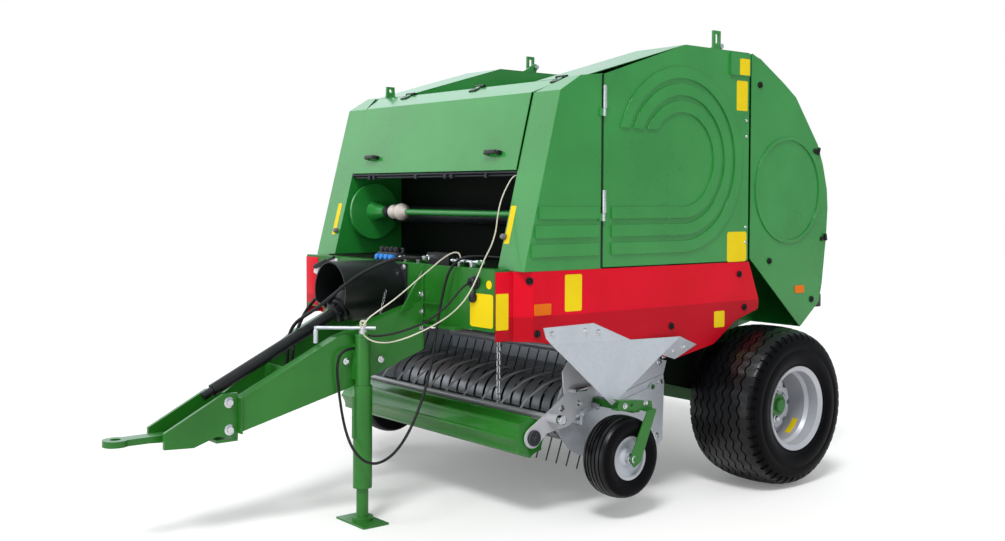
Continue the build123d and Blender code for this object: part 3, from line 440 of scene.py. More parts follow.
def pick(piece, test, kind='FACE'):
    # selects faces or vertices by a test on their middle and normal
    bpy.ops.object.mode_set(mode='EDIT')
    bpy.ops.mesh.select_mode(type=kind)
    bpy.ops.mesh.select_all(action='DESELECT')
    bpy.ops.object.mode_set(mode='OBJECT')
    if kind == 'FACE':
        for face in piece.data.polygons:
            face.select = bool(test(piece.matrix_world @ face.center, face.normal))
    else:
        for vertex in piece.data.vertices:
            vertex.select = bool(test(piece.matrix_world @ vertex.co, vertex.normal))
    bpy.ops.object.mode_set(mode='EDIT')


# road tyres: seven zigzag grooves between straight shoulders
roadTyre = dict(
    x=1.029, z=0.455, radius=0.455, steps=144, zigzag=0.0075, grooveDeep=0.014, grooveWide=0.01,
    grooves=(-0.15, -0.1, -0.05, 0.0, 0.05, 0.1, 0.15), slitDeep=0.009)


def crownAt(t):
    # height of the tread over its width
    return roadTyre["radius"] - 0.024 * (abs(t) / 0.19) ** 2.6


def roadTyreProfile():
    wall = [
        (0.2195, -0.205), (0.242, -0.2195), (0.25, -0.227), (0.258, -0.2275), (0.264, -0.234), (0.3, -0.2395),
        (0.33, -0.24), (0.335, -0.2375), (0.34, -0.2375), (0.345, -0.2395), (0.372, -0.237), (0.392, -0.231),
        (0.408, -0.223), (0.42, -0.213), (0.4285, -0.199)]
    tread = []
    half = roadTyre["grooveWide"] / 2
    for middle in roadTyre["grooves"]:
        top = crownAt(middle)
        floor = top - roadTyre["grooveDeep"]
        tread += [
            (top, middle - half), (floor, middle - half * 0.55), (floor, middle + half * 0.55), (top, middle + half)]
    return wall + tread + [(r, -t) for r, t in reversed(wall)]


def buildRoadTyre(side, name):
    steps = roadTyre["steps"]
    middle = Vector((side * roadTyre["x"], axleY, roadTyre["z"]))
    line = [middle + Vector((t, 0, r)) for r, t in roadTyreProfile()]
    tyre = startLine(name, line[0])
    drawLine(line)
    selectAll()
    bpy.ops.mesh.spin(steps=steps, angle=2 * math.pi, center=middle, axis=(1, 0, 0))
    selectAll()
    bpy.ops.mesh.remove_doubles(threshold=0.0001)

    def station(place):
        turn = math.atan2(place.z - middle.z, place.y - middle.y)
        return round(turn / (2 * math.pi) * steps) % 4

    # zigzag ribs: two stations left, two right, the shoulders stay straight
    for offset, wanted in ((roadTyre["zigzag"], (0, 1)), (-roadTyre["zigzag"], (2, 3))):
        pick(
            tyre, lambda p,
            n: abs(p.x - middle.x) < 0.158 and math.hypot(p.y - middle.y,
            p.z - middle.z) > 0.41 and station(p) in wanted, 'VERT')
        bpy.ops.transform.translate(value=(offset, 0, 0))
    # slits across the shoulders
    def shoulder(place, normal):
        turn = math.atan2(place.z - middle.z, place.y - middle.y) / (2 * math.pi) * steps
        reach = math.hypot(place.y - middle.y, place.z - middle.z)
        out = abs(place.x - middle.x)
        return 0.205 < out < 0.232 and 0.395 < reach < 0.426 and int(math.floor(turn)) % 3 == 0
    pick(tyre, shoulder)
    bpy.ops.mesh.inset(thickness=0.0016, depth=-roadTyre["slitDeep"])
    settle(tyre, 40)
    return tyre


for side, where in sides:
    hand(buildRoadTyre(side, "roadTyre." + where), "wheel_" + where, tyreRubber, ("tyre_" + where,))
print("road tyres built")


# gauge tyres: five plain grooves
gaugeTyre = dict(x=1.064, y=-1.237, z=0.32, steps=72)


def buildGaugeTyre(side, name):
    middle = Vector((side * gaugeTyre["x"], gaugeTyre["y"] + axleY, gaugeTyre["z"]))
    wall = [
        (0.105, -0.062), (0.118, -0.0705), (0.125, -0.0745), (0.131, -0.0755), (0.136, -0.08), (0.16, -0.085),
        (0.178, -0.0835), (0.1905, -0.078), (0.1985, -0.069)]
    tread = []
    for groove in (-0.048, -0.024, 0.0, 0.024, 0.048):
        crown = 0.211 - 0.009 * (abs(groove) / 0.06) ** 2
        tread += [
            (crown, groove - 0.0045), (crown - 0.007, groove - 0.002), (crown - 0.007, groove + 0.002),
            (crown, groove + 0.0045)]
    line = [middle + Vector((t, 0, r)) for r, t in wall + tread + [(r, -t) for r, t in reversed(wall)]]
    tyre = startLine(name, line[0])
    drawLine(line)
    selectAll()
    bpy.ops.mesh.spin(steps=gaugeTyre["steps"], angle=2 * math.pi, center=middle, axis=(1, 0, 0))
    settle(tyre, 40)
    return tyre


for side, where in sides:
    hand(buildGaugeTyre(side, "gaugeTyre." + where), "gauge_wheel_" + where, tyreRubber, ("gauge_tyre_" + where,))
print("gauge tyres built")


def at(x, y, z):
    # a place counted from the axle, in the frame
    return Vector((x, y + axleY, z))


def lathe(name, place, aim, profile, steps):
    # (radius, along) profile in millimetres, turned round the line through place that looks along aim
    aim = Vector(aim).normalized()
    side = aim.orthogonal().normalized()
    line = [place + aim * (t / 1000) + side * (r / 1000) for r, t in profile]
    piece = startLine(name, line[0])
    drawLine(line)
    selectAll()
    bpy.ops.mesh.spin(steps=steps, angle=2 * math.pi, center=place, axis=aim)
    settle(piece)
    return piece


def roundedBox(name, place, size, edge, turn=(0, 0, 0)):
    deselect()
    bpy.ops.mesh.primitive_cube_add(size=1, location=place, rotation=turn)
    piece = bpy.context.object
    piece.name = name
    piece.scale = size
    bpy.ops.object.transform_apply(location=False, rotation=False, scale=True)
    bpy.ops.object.mode_set(mode='EDIT')
    selectAll()
    bpy.ops.mesh.bevel(offset=edge, segments=2)
    settle(piece)
    return piece


def cutPlate(name, outline, thickness, edge=0.0):
    # closed outline, filled and given thickness along a vector
    piece = startLine(name, outline[0])
    drawLine(list(outline) + [outline[0]])
    selectAll()
    bpy.ops.mesh.remove_doubles(threshold=0.00005)
    bpy.ops.mesh.edge_face_add()
    bpy.ops.mesh.extrude_region_move(TRANSFORM_OT_translate={"value": thickness})
    if edge:
        selectAll()
        bpy.ops.mesh.bevel(offset=edge, segments=2)
    settle(piece, 30)
    return piece


def fuse(name, pieces):
    # finished meshes of one finish as one object
    deselect()
    for piece in pieces:
        piece.select_set(True)
    bpy.context.view_layer.objects.active = pieces[0]
    if len(pieces) > 1:
        bpy.ops.object.join()
    pieces[0].name = name
    return pieces[0]


def scatter(name, pattern, spots):
    # copies of a small piece with their own meshes; each spot is a place and the way it looks
    copies = []
    for place, aim in spots:
        deselect()
        pattern.select_set(True)
        bpy.context.view_layer.objects.active = pattern
        bpy.ops.object.duplicate(linked=False)
        copy = bpy.context.object
        copy.rotation_euler = Vector(aim).to_track_quat('Z', 'Y').to_euler()
        copy.location = place
        bpy.ops.object.transform_apply(location=True, rotation=True, scale=True)
        copies.append(copy)
    return fuse(name, copies)


# free cords: route points counted from the axle, in millimetres
cordRoutes = dict(
    cable_loop=dict(radius=0.007, length=2.176, stiffness="medium", finish=blackRubber, slot="black_plastic", points=[
        (268, -2345, 880), (268, -2420, 880), (255, -2442, 800), (252, -2432, 710),
        (256, -2422, 620), (270, -2415, 535), (302, -2412, 458), (354, -2409, 392),
        (425, -2401, 347), (507, -2388, 338), (580, -2363, 366), (628, -2325, 422),
        (646, -2277, 496), (640, -2225, 575), (621, -2173, 656), (598, -2125, 739),
        (577, -2084, 826), (557, -2053, 917), (545, -2029, 1010), (545, -2009, 1103),
        (555, -1995, 1195), (585, -1985, 1285), (625, -1945, 1345), (665, -1875, 1352),
        (712, -1790, 1345), (782.7, -1790, 1345)]),
    cable_socket=dict(radius=0.0055, length=0.69, stiffness="medium", finish=blackRubber, slot="black_plastic", points=[
        (759, -1950, 1229), (759, -2000, 1229), (750, -2045, 1192), (738, -2080, 1147),
        (721, -2118, 1104), (695, -2152, 1068), (661, -2186, 1038), (620, -2219, 1013),
        (574, -2248, 992), (524, -2275, 974), (470, -2302, 961), (415, -2317, 953),
        (355.3, -2317, 952)]),
    rope=dict(radius=0.0035, length=2.087, stiffness="limp", finish=creamCord, slot="cream_cord", points=[
        (782.7, -1690, 1765), (734, -1690, 1765), (734, -1738, 1700), (748, -1785, 1635),
        (768, -1822, 1560), (792, -1850, 1485), (812, -1895, 1410), (818, -1945, 1345),
        (808, -1975, 1268), (782, -1998, 1192), (745, -2028, 1122), (695, -2066, 1064),
        (640, -2110, 1018), (583, -2162, 978), (526, -2218, 943), (462, -2276, 920),
        (405, -2332, 926), (376, -2378, 972), (405, -2362, 1040), (442, -2305, 1088),
        (463, -2236, 1135), (471, -2167, 1184), (479, -2100, 1235), (500, -2037, 1286),
        (528, -1985, 1338), (560, -1935, 1372), (590, -1915, 1360), (592, -1913, 1297)]),
    hose_over=dict(radius=0.009, length=1.229, stiffness="stiff", finish=blackRubber, slot="black_plastic", points=[
        (345, -1940, 1330), (345, -2005, 1330), (280, -2058, 1334), (205, -2110, 1312),
        (176, -2185, 1275), (170, -2265, 1238), (172, -2345, 1195), (165, -2420, 1138),
        (120, -2475, 1080), (45, -2505, 1035), (-35, -2520, 990), (-80, -2528, 925),
        (-90, -2528, 862), (-90, -2528, 800), (-90, -2535, 760), (-90, -2561, 729),
        (-90, -2600, 718), (-90, -2640, 718)]),
    hose_side=dict(radius=0.009, length=1.027, stiffness="stiff", finish=blackRubber, slot="black_plastic", points=[
        (-232, -1950, 1215), (-232, -2040, 1215), (-246, -2125, 1190), (-246, -2200, 1148),
        (-236, -2268, 1102), (-210, -2332, 1058), (-170, -2392, 1012), (-130, -2445, 955),
        (-92, -2490, 892), (-62, -2515, 830), (-48, -2527, 770), (-45, -2532, 712),
        (-45, -2545, 674), (-45, -2573, 645), (-45, -2606, 634), (-45, -2640, 634)])
)
for route in cordRoutes.values():
    route["points"] = [tuple(value / 1000 for value in place) for place in route["points"]]


def buildCord(name, route):
    curve = bpy.data.curves.new("cord." + name, 'CURVE')
    curve.dimensions = '3D'
    spline = curve.splines.new('NURBS')
    spline.points.add(len(route["points"]) - 1)
    for point, place in zip(spline.points, route["points"]):
        point.co = (*at(*place), 1)
    spline.order_u = 3
    spline.use_endpoint_u = True
    spline.resolution_u = 10
    curve.bevel_depth = route["radius"]
    curve.bevel_resolution = 5
    curve.use_fill_caps = True
    cord = bpy.data.objects.new("cord." + name, curve)
    bpy.context.collection.objects.link(cord)
    cord.data.materials.append(route["finish"])
    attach(cord, "chassis")
    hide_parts(name)


for name, route in cordRoutes.items():
    buildCord(name, route)
print("cords laid")


# hexagon bolts with washers, and the rows they stand in: places count from the axle
bolt = dict(head=0.0105, tall=0.008, washer=0.016, thick=0.0022)


def boltPattern(scale):
    deselect()
    bpy.ops.mesh.primitive_cylinder_add(
        vertices=6, radius=bolt["head"] * scale, depth=bolt["tall"] * scale,
        location=(0, 0, (bolt["thick"] + bolt["tall"] / 2) * scale))
    head = bpy.context.object
    bpy.ops.object.mode_set(mode='EDIT')
    selectAll()
    bpy.ops.mesh.bevel(offset=0.001 * scale, segments=1)
    settle(head, 25)
    wide, thick = (1000 * bolt[key] * scale for key in ("washer", "thick"))
    washer = lathe("washer", Vector((0, 0, 0)), (0, 0, 1), [
        (0, -0.8), (wide, -0.8), (wide, thick * 0.7), (wide * 0.94, thick), (0, thick)], 24)
    return fuse("pattern", [washer, head])


def onFlanks(x, spots):
    # the same places on the left and right flank, looking outward
    return [((s * x, y, z), (s, 0, 0)) for s, where in sides for y, z in spots]


def onFront(x, y, heights):
    # the same heights left and right of the middle, looking forward
    return [((s * x, y, z), (0, -1, 0)) for s, where in sides for z in heights]


def onSkin(side, spots):
    # places on the skin of one side
    return [(at(side * skinX, y, z), (side, 0, 0)) for y, z in spots]


skinX = 0.988
boltRows = [
    ("bolts.drawbarHead", "chassis", 1.7, onFlanks(0.104, ((-2.952, 0.647), (-2.95, 0.514)))),
    ("bolts.lugPlates", "chassis", 1.35, onFront(0.306, -1.962, (1.137, 1.048, 0.961))),
    ("bolts.heightHoles", "chassis", 0.8, onFront(0.299, -1.962, (0.905, 0.878))),
    ("bolts.jack", "chassis", 1.1, [((0.2385, -2.374, 0.812), (1, -0.22, 0)), ((0.277, -2.19, 0.812), (1, -0.2, 0))]),
    ("bolts.deflectors", "chassis", 1.0, onFlanks(0.9913, ((-1.652, 0.972), (-1.426, 0.973), (-1.333, 0.96)))
     + onFlanks(1.006, ((-0.79, 0.822), (-0.7, 0.838)))),
    ("bolts.pickup", "pickup", 1.2, onFlanks(0.832, (
        (-0.7, 0.735), (-0.662, 0.765), (-0.69, 0.619), (-0.72, 0.32), (-1.04, 0.33), (-1.33, 0.64)))),
    ("bolts.brackets", "pickup", 1.0, onFlanks(1.131, ((-1.275, 0.592), (-1.125, 0.592)))),
    ("bolts.windguard", "windguard", 1.1, onFlanks(0.852, ((-1.455, 0.56), (-1.33, 0.575), (-1.13, 0.765)))),
    ("bolts.gearbox", "chassis", 1.0, onFront(0.145, -1.96, (1.02, 1.27))),
]
patterns = {}
for name, body, scale, spots in boltRows:
    if scale not in patterns:
        patterns[scale] = boltPattern(scale)
    hand(scatter(name, patterns[scale], [(at(*place), aim) for place, aim in spots]), body, brightSteel)

# rivet pairs on the doors' rear edges
rivet = lathe(
    "pattern", Vector((0, 0, 0)), (0, 0, 1), [(0, -0.5), (9.5, -0.5), (9, 3), (6.5, 5.8), (3, 6.8), (0, 7)], 20)
patterns["rivet"] = rivet
for side, where in sides:
    hand(scatter(
        "rivets." + where, rivet, onSkin(side, [(-0.15, z) for z in (2.102, 2.01, 1.486, 1.398)])), "door_" + where,
        brightSteel)

# quarter-turn rubber fasteners: a dished knob with a raised rim
knob = lathe("pattern", Vector((0, 0, 0)), (0, 0, 1), [
    (0, -0.5), (19, -0.5), (19.5, 3.5), (17.5, 8.5), (13.5, 10), (11.5, 8.5), (10.5, 4), (7, 3), (6.6, 11.5),
    (5, 13.5), (0, 14)], 32)
patterns["knob"] = knob
skirtSpots = [(-1.747, 0.979), (-0.203, 1.216), (-0.155, 1.023), (-0.777, 0.954)]
coverSpots = [(-0.029, 2.315), (0.073, 1.283), (0.491, 1.036)]
for side, where in sides:
    onFold = (at(side * 0.9755, -1.7862, 1.24), (side * 0.722, -0.692, 0))
    hand(scatter("skirtKnobs." + where, knob, [onFold] + onSkin(side, skirtSpots)), "chassis", blackRubber)
    hand(scatter("coverKnobs." + where, knob, onSkin(side, coverSpots)), "tailgate", blackRubber)
print("fasteners set")


# blank yellow decals and the orange reflectors
thin, raised = 0.0009, 0.006


def flatLabel(name, body, finish, place, across, down, wide, tall, thick=thin):
    # a thin sheet with rounded corners, lying on the face that across and down span
    across, down = Vector(across).normalized(), Vector(down).normalized()
    out = down.cross(across)
    place = at(*place)
    trim = min(wide, tall) * 0.06
    corners = []
    for a, b in ((-1, -1), (1, -1), (1, 1), (-1, 1)):
        ca, cb = a * wide / 2, b * tall / 2
        first, second = ((ca, cb - b * trim), (ca - a * trim, cb))
        corners += [first, second] if a * b > 0 else [second, first]
    outline = [place + across * a + down * b - out * 0.0003 for a, b in corners]
    return hand(cutPlate(name, outline, out * thick), body, finish)


labels = [
    ("label.skirtFront", "chassis", decalYellow, (skinX, -1.505, 1.17), 0.116, 0.186, thin),
    ("label.skirtRear", "chassis", decalYellow, (skinX, -0.374, 0.966), 0.09, 0.092, thin),
    ("label.doorLow", "door_", decalYellow, (skinX, -0.226, 1.374), 0.172, 0.172, thin),
    ("label.doorHigh", "door_", decalYellow, (skinX, -0.19, 2.242), 0.098, 0.172, thin),
    ("label.doorBox", "door_", decalYellow, (1.0, -0.183, 2.407), 0.088, 0.094, thin),
    ("reflector.skirt", "chassis", reflectorOrange, (skinX, -1.7135, 1.097), 0.108, 0.056, raised),
    ("reflector.gate", "tailgate", reflectorOrange, (skinX, 0.368, 1.103), 0.088, 0.046, raised),
]
for side, where in sides:
    for name, body, finish, (x, y, z), wide, tall, thick in labels:
        flatLabel(
            name + "." + where, body + where if body == "door_" else body, finish, (side * x, y, z), (0, side, 0),
            (0, 0, -1), wide, tall, thick)
    slope = (0, -0.2483, -0.9687)
    flatLabel(
        "label.pillar." + where, "chassis", decalYellow, (side * 0.811 if side > 0 else -0.846, -1.7755, 1.512),
        (1, 0, 0), slope, 0.04, 0.196)
flatLabel("label.crossbeam", "chassis", decalYellow, (0.8035, -1.95, 1.091), (1, 0, 0), (0, 0, -1), 0.182, 0.166)
flatLabel(
    "label.rightSkirt", "chassis", decalYellow, (-0.953, -1.8095, 1.04), (0.692, -0.722, 0), (0, 0, -1), 0.034, 0.05)
print("labels laid")

# red end plate that carries the skirt's front edge over the end of the crossbeam
for side, where in sides:
    line = [(0.909, -1.949), (0.912, -1.949), (0.92, -1.8462), (0.9165, -1.8462)]
    plate = cutPlate("skirtEnd." + where, [at(side * x, y, 0.945) for x, y in line], Vector((0, 0, 0.3395)), 0.0006)
    hand(plate, "chassis", redPaint)
flatLabel("label.skirtEnd", "chassis", decalYellow, (0.916, -1.9105, 1.09), (0.078, 1, 0), (0, 0, -1), 0.074, 0.178)
roundLabel = lathe(
    "label.round", at(0.862, -1.95, 1.221), (0, -1, 0), [(0, -0.3), (21.5, -0.3), (21.5, 0.8), (0, 0.8)], 32)
hand(roundLabel, "chassis", decalYellow)

# black rubber strips beside the doors' front edges: painted shade that widens the dark gap there
for side, where in sides:
    flatLabel(
        "doorGapShade." + where, "chassis", blackRubber, (side * skinX, -1.3115, 1.786), (0, side, 0), (0, 0, -1), 0.011,
        0.994)

# hood: two bow handles and the stops on the pillars
hoodOut = Vector((0, -0.9693, 0.246))
hoodDown = Vector((0, -0.246, -0.9693))
bow = [
    (-0.064, -0.001), (-0.06, 0.026), (-0.047, 0.036), (0.047, 0.036), (0.06, 0.026), (0.064, -0.001), (0.04, -0.001),
    (0.036, 0.017), (-0.036, 0.017), (-0.04, -0.001)]
for x, where in ((0.575, "left"), (-0.575, "right")):
    foot = at(x, -1.6895, 1.878)
    outline = [foot + Vector((1, 0, 0)) * a + hoodOut * b - hoodDown * 0.011 for a, b in bow]
    hand(cutPlate("hoodHandle." + where, outline, hoodDown * 0.022, 0.004), "hood", blackPlastic)
for x, y, z, where in ((0.7905, -1.7945, 1.45, "left"), (-0.812, -1.797, 1.44, "right")):
    stop = lathe("hoodStop." + where, at(x, y, z), hoodOut, [
        (0, -4), (15, -4), (15.5, 10), (13.5, 20), (10.5, 23), (0, 23)], 24)
    hand(stop, "chassis", greyPaint)

# hood hinges: black sleeves on the axis and leaves on the sloping top
for number, x in enumerate((-0.54, 0.139, 0.823)):
    axis = lathe("hoodHinge.%d" % number, at(x - 0.041, -1.444, 2.273), (1, 0, 0), [
        (0, 0), (9.8, 0), (9.8, 24), (8.2, 24.5), (8.2, 26), (9.8, 26.5), (9.8, 55.5), (8.2, 56), (8.2, 57.5),
        (9.8, 58), (9.8, 82), (0, 82)], 20)
    hand(axis, "chassis", blackPlastic)
    leaf = roundedBox("hoodLeaf.%d" % number, at(x, -1.486, 2.251), (0.06, 0.036, 0.008), 0.002, (0.45, 0, 0))
    hand(leaf, "hood", blackPlastic)

# door hinges: a silver sleeve with knuckle gaps over each pin, and a leaf on the door
sleeveLow = [(8.4, 0), (9.2, 1), (9.2, 18), (8.4, 19), (8.4, 21), (9.2, 22), (9.2, 38), (8.4, 39)]
sleeveHigh = [(8.4, 0), (9.2, 1)]
for step in (39.5, 79.5):
    sleeveHigh += [(9.2, step - 1.5), (8.4, step - 1), (8.4, step + 1), (9.2, step + 1.5)]
sleeveHigh += [(9.2, 119), (8.4, 120), (0, 120)]
for side, where in sides:
    lowParts, highParts = [], []
    for z in (1.57, 2.11):
        lowParts.append(lathe(
            "sleeve", at(side * 0.996, -1.304, z - 0.04), (0, 0, 1), [(0, 0)] + sleeveLow + [(0, 39)], 20))
        highParts.append(lathe("sleeve", at(side * 0.996, -1.304, z), (0, 0, 1), [(0, 0)] + sleeveHigh, 20))
        highParts.append(roundedBox("leaf", at(side * 0.9968, -1.2955, z + 0.06), (0.0018, 0.014, 0.118), 0.0006))
    hand(fuse("hingeLow." + where, lowParts), "chassis", brightSteel)
    hand(fuse("hingeHigh." + where, highParts), "door_" + where, brightSteel)

# latches in the cover's notches and the rear lamps on the gate
for side, where in sides:
    parts = []
    for y, z, tip in ((0.528, 1.941, -0.35), (0.608, 1.409, 0.2)):
        parts.append(roundedBox("strap", at(side * 0.9905, y, z), (0.012, 0.062, 0.024), 0.004, (tip, 0, 0)))
        parts.append(roundedBox(
            "toggle", at(side * 0.9975, y + 0.014, z + 0.006), (0.01, 0.022, 0.044), 0.004, (tip, 0, 0)))
    hand(fuse("latches." + where, parts), "tailgate", blackRubber)
    box = roundedBox("lampBox." + where, at(side * 0.915, 0.59, 1.022), (0.118, 0.052, 0.08), 0.006)
    hand(box, "tailgate", blackPlastic)
    lens = roundedBox("lampLens." + where, at(side * 0.915, 0.617, 1.022), (0.104, 0.008, 0.068), 0.003)
    hand(lens, "tailgate", lampRed)
print("body fittings set")

# net roll holder: pale double cone over the spindle, collar at the disc
cone = [
    (0, -100), (20, -100), (37, -92), (42.5, -78), (40, -58), (31, -46), (31, -38), (40, -28), (48, -12), (51, 4),
    (49, 22), (41, 38), (27, 52), (20, 64), (0, 64)]
hand(lathe("netCone", at(-0.44, -1.58, 1.56), (1, 0, 0), cone, 40), "net_spindle", palePlastic)
collar = [(0, -55), (25, -55), (29, -50), (29, -34), (23, -30), (23, -16), (33, -12), (33, 10), (23, 16), (0, 16)]
hand(lathe("netCollar", at(-0.575, -1.58, 1.56), (1, 0, 0), collar, 32), "net_spindle", darkSteel)
ribs = []
for y, z in ((-1.7, 1.779), (-1.688, 1.764)):
    ribs.append(lathe("netRail", at(-0.7826, y, z), (1, 0, 0), [(0, 0), (7, 0), (7, 1565.2), (0, 1565.2)], 16))
for x in (-0.6, -0.55, -0.12, 0.16, 0.22, 0.52):
    ribs.append(roundedBox("netFinger", at(x, -1.694, 1.766), (0.02, 0.022, 0.03), 0.003))
hand(fuse("netRails", ribs), "chassis", darkSteel)

# drive shaft: ribbed boot over the shield's joint, with its locking collar
shaftAim = Vector((0, -0.8965, -0.4431))
boot = [
    (0, -20), (100, -20), (124, -14), (125, 4), (119, 12), (122.5, 20), (122, 38), (115, 46), (118, 54), (116.5, 74),
    (108, 84), (110.5, 92), (107, 112), (97, 122), (98.5, 130), (92, 148), (80, 158), (70, 168), (62, 172),
    (62, 192), (52, 198), (54, 204), (54, 232), (42, 240), (33.5, 244), (0, 244)]
boots = [lathe("boot", at(0, -2.1, 1.135), shaftAim, boot, 48)]
for turn in range(6):
    side = Vector((1, 0, 0))
    up = shaftAim.cross(side)
    reach = side * math.cos(turn * math.pi / 3) + up * math.sin(turn * math.pi / 3)
    boots.append(roundedBox(
        "lug", at(0, -2.1, 1.135) + shaftAim * 0.218 + reach * 0.054, (0.014, 0.024, 0.014), 0.003))
hand(fuse("shaftBoot", boots), "chassis", blackPlastic)

# shield chain hanging from the shield's flank
deselect()
bpy.ops.mesh.primitive_torus_add(major_radius=0.0058, minor_radius=0.0013, major_segments=20, minor_segments=8)
ringLink = bpy.context.object
ringLink.scale = (1, 1.7, 1)
settle(ringLink)
patterns["link"] = ringLink
links = []
for i in range(13):
    place = at(0.16 + 0.0016 * (i % 2), -2.087 - 0.0042 * i, 1.15 - 0.0158 * i)
    links.append((place, (1, 0.1 * (i % 3), 0) if i % 2 else (0.1, -1, 0)))
hand(scatter("shieldChain", ringLink, links), "chassis", brightSteel)

# hydraulic valves on the crossbeam: four blue couplings, black caps, steel unions and four pipes
block = roundedBox("valveBody", at(-0.058, -1.906, 1.32), (0.19, 0.06, 0.048), 0.004)
hand(block, "chassis", darkSteel)
blues, blacks = [], []
for i in range(4):
    x = -0.126 + 0.045 * i
    blues.append(lathe(
        "blue", at(x, -1.936, 1.316), (0, -1, 0.12),
        [(0, -2), (13, -2), (16.5, 4), (16.5, 22), (14, 26), (9, 27), (0, 27)], 24))
    blacks.append(lathe(
        "cap", at(x, -1.912, 1.343), (0, -0.25, 1), [(0, -2), (16.5, -2), (17.5, 10), (16, 24), (11, 31), (0, 32)],
        24))
    blacks.append(lathe(
        "cap", at(x + 0.02, -1.888, 1.343), (0, 0.1, 1), [(0, -2), (12.5, -2), (13, 20), (8, 26), (0, 26)], 20))
hand(fuse("valveBlues", blues), "chassis", blueCap)
hand(fuse("valveCaps", blacks), "chassis", blackPlastic)
pipes = []
for y, z, first, last in (
        (-1.92, 1.3195, 0.052, 0.318), (-1.898, 1.3195, 0.052, 0.318), (-1.925, 1.3245, 0.53, 0.752),
        (-1.9, 1.3245, 0.53, 0.752)):
    long = (last - first) * 1000
    pipes.append(lathe("pipe", at(first, y, z), (1, 0, 0), [
        (0, 0), (12.5, 0), (12.5, 16), (7, 18), (7, long - 22), (12, long - 20), (12, long), (0, long)], 18))
for x in (0.12, 0.24, 0.6, 0.7):
    pipes.append(roundedBox("clamp", at(x, -1.911, 1.3125), (0.022, 0.058, 0.032), 0.003))
hand(fuse("pipes", pipes), "chassis", brightSteel)
unions = []
for name in ("hose_over", "hose_side", "cable_socket"):
    route = cordRoutes[name]
    place = at(*route["points"][0])
    aim = at(*route["points"][1]) - place
    r = route["radius"] * 1000
    unions.append((name, lathe("union", place, aim, [
        (0, 0), (r * 1.9, 0), (r * 1.9, 10), (r * 1.45, 12), (r * 1.45, 34), (r * 1.2, 40), (r * 0.98, 48)], 24)))
    if name != "cable_socket":
        last, before = at(*route["points"][-1]), at(*route["points"][-2])
        unions.append((name, lathe("union", last, before - last, [
            (0, 0), (r * 1.9, 0), (r * 1.9, 10), (r * 1.45, 12), (r * 1.45, 30), (r * 1.1, 38), (r * 0.98, 40)], 24)))
hand(fuse("hoseUnions", [piece for name, piece in unions if name != "cable_socket"]), "chassis", brightSteel)
socket = [piece for name, piece in unions if name == "cable_socket"]
socket.append(lathe(
    "socket", at(0.759, -1.9498, 1.229), (0, -1, 0),
    [(0, 0), (35, 0), (35.5, 6), (28, 9), (27, 32), (22.5, 38), (0, 38)], 32))
socket.append(lathe(
    "cap", at(0.742, -1.9515, 1.15), (0, -1, 0.15), [(0, 0), (25, 0), (26.5, 4), (24.5, 12), (12, 16), (0, 17)], 28))
socket.append(roundedBox("strap", at(0.75, -1.9535, 1.188), (0.008, 0.003, 0.06), 0.001, (0, -0.2, 0)))
hand(fuse("socket", socket), "chassis", blackPlastic)
print("lines and couplings set")

# white bracket with its rubber-covered lever at the far end of the crossbeam
whiteLine = [
    (-0.811, 1.192), (-0.8, 1.226), (-0.62, 1.286), (-0.548, 1.288), (-0.548, 1.258), (-0.6, 1.215), (-0.618, 1.15),
    (-0.651, 1.12), (-0.7, 1.134), (-0.722, 1.172)]
bracket = cutPlate("leverBracket", [at(x, -1.9498, z) for x, z in whiteLine], Vector((0, -0.01, 0)), 0.0015)
hand(bracket, "chassis", palePaint)
lever = lathe(
    "lever", at(-0.775, -1.974, 1.228), (0.219, 0.004, 0.068),
    [(0, 0), (12, 2), (15, 12), (15, 128), (12, 136), (8, 138), (8, 228), (0, 230)], 24)
hand(lever, "chassis", blackRubber)

# wheels: green hub with its cap, wheel nuts, a blank yellow label in the barrel
def barrelLabel(name, middle, radius, low, high, first, last):
    # a label that lies on the barrel's inside, between two angles
    deselect()
    start = middle + Vector((low, radius * math.cos(last), radius * math.sin(last)))
    piece = startLine(name, start)
    drawLine([start, start + Vector((high - low, 0, 0))])
    selectAll()
    bpy.ops.mesh.spin(steps=10, angle=last - first, center=middle, axis=(1, 0, 0))
    selectAll()
    bpy.ops.mesh.extrude_region_shrink_fatten(TRANSFORM_OT_shrink_fatten={"value": 0.001})
    settle(piece)
    return piece


for side, where in sides:
    middle = at(side * 1.029, 0, 0.455)
    hub = lathe("hub." + where, middle, (side, 0, 0), [
        (0, 52), (66, 52), (66, 66), (63.5, 68), (63.5, 94), (56, 97), (42, 97), (40, 108), (34, 115), (0, 117)], 40)
    hand(hub, "wheel_" + where, frameGreenPaintedShade)
    nuts = []
    for k in range(8):
        a = math.radians(22.5 + 45 * k)
        nuts.append((middle + Vector((side * 0.0505, 0.096 * math.cos(a), 0.096 * math.sin(a))), (side, 0, 0)))
    hand(scatter("nuts." + where, patterns[1.7], nuts), "wheel_" + where, brightSteel)
    label = barrelLabel(
        "label.rim." + where, middle, 0.1952, side * 0.066, side * 0.104, math.radians(-62), math.radians(-30))
    hand(label, "wheel_" + where, decalYellow)
    middle = at(side * 1.064, -1.237, 0.32)
    cap = lathe("gaugeHub." + where, middle, (side, 0, 0), [
        (0, 76), (29, 76), (29, 82), (19, 86), (19, 101), (15, 105), (0, 105)], 28)
    hand(cap, "gauge_wheel_" + where, brightSteel)
print("wheels dressed")

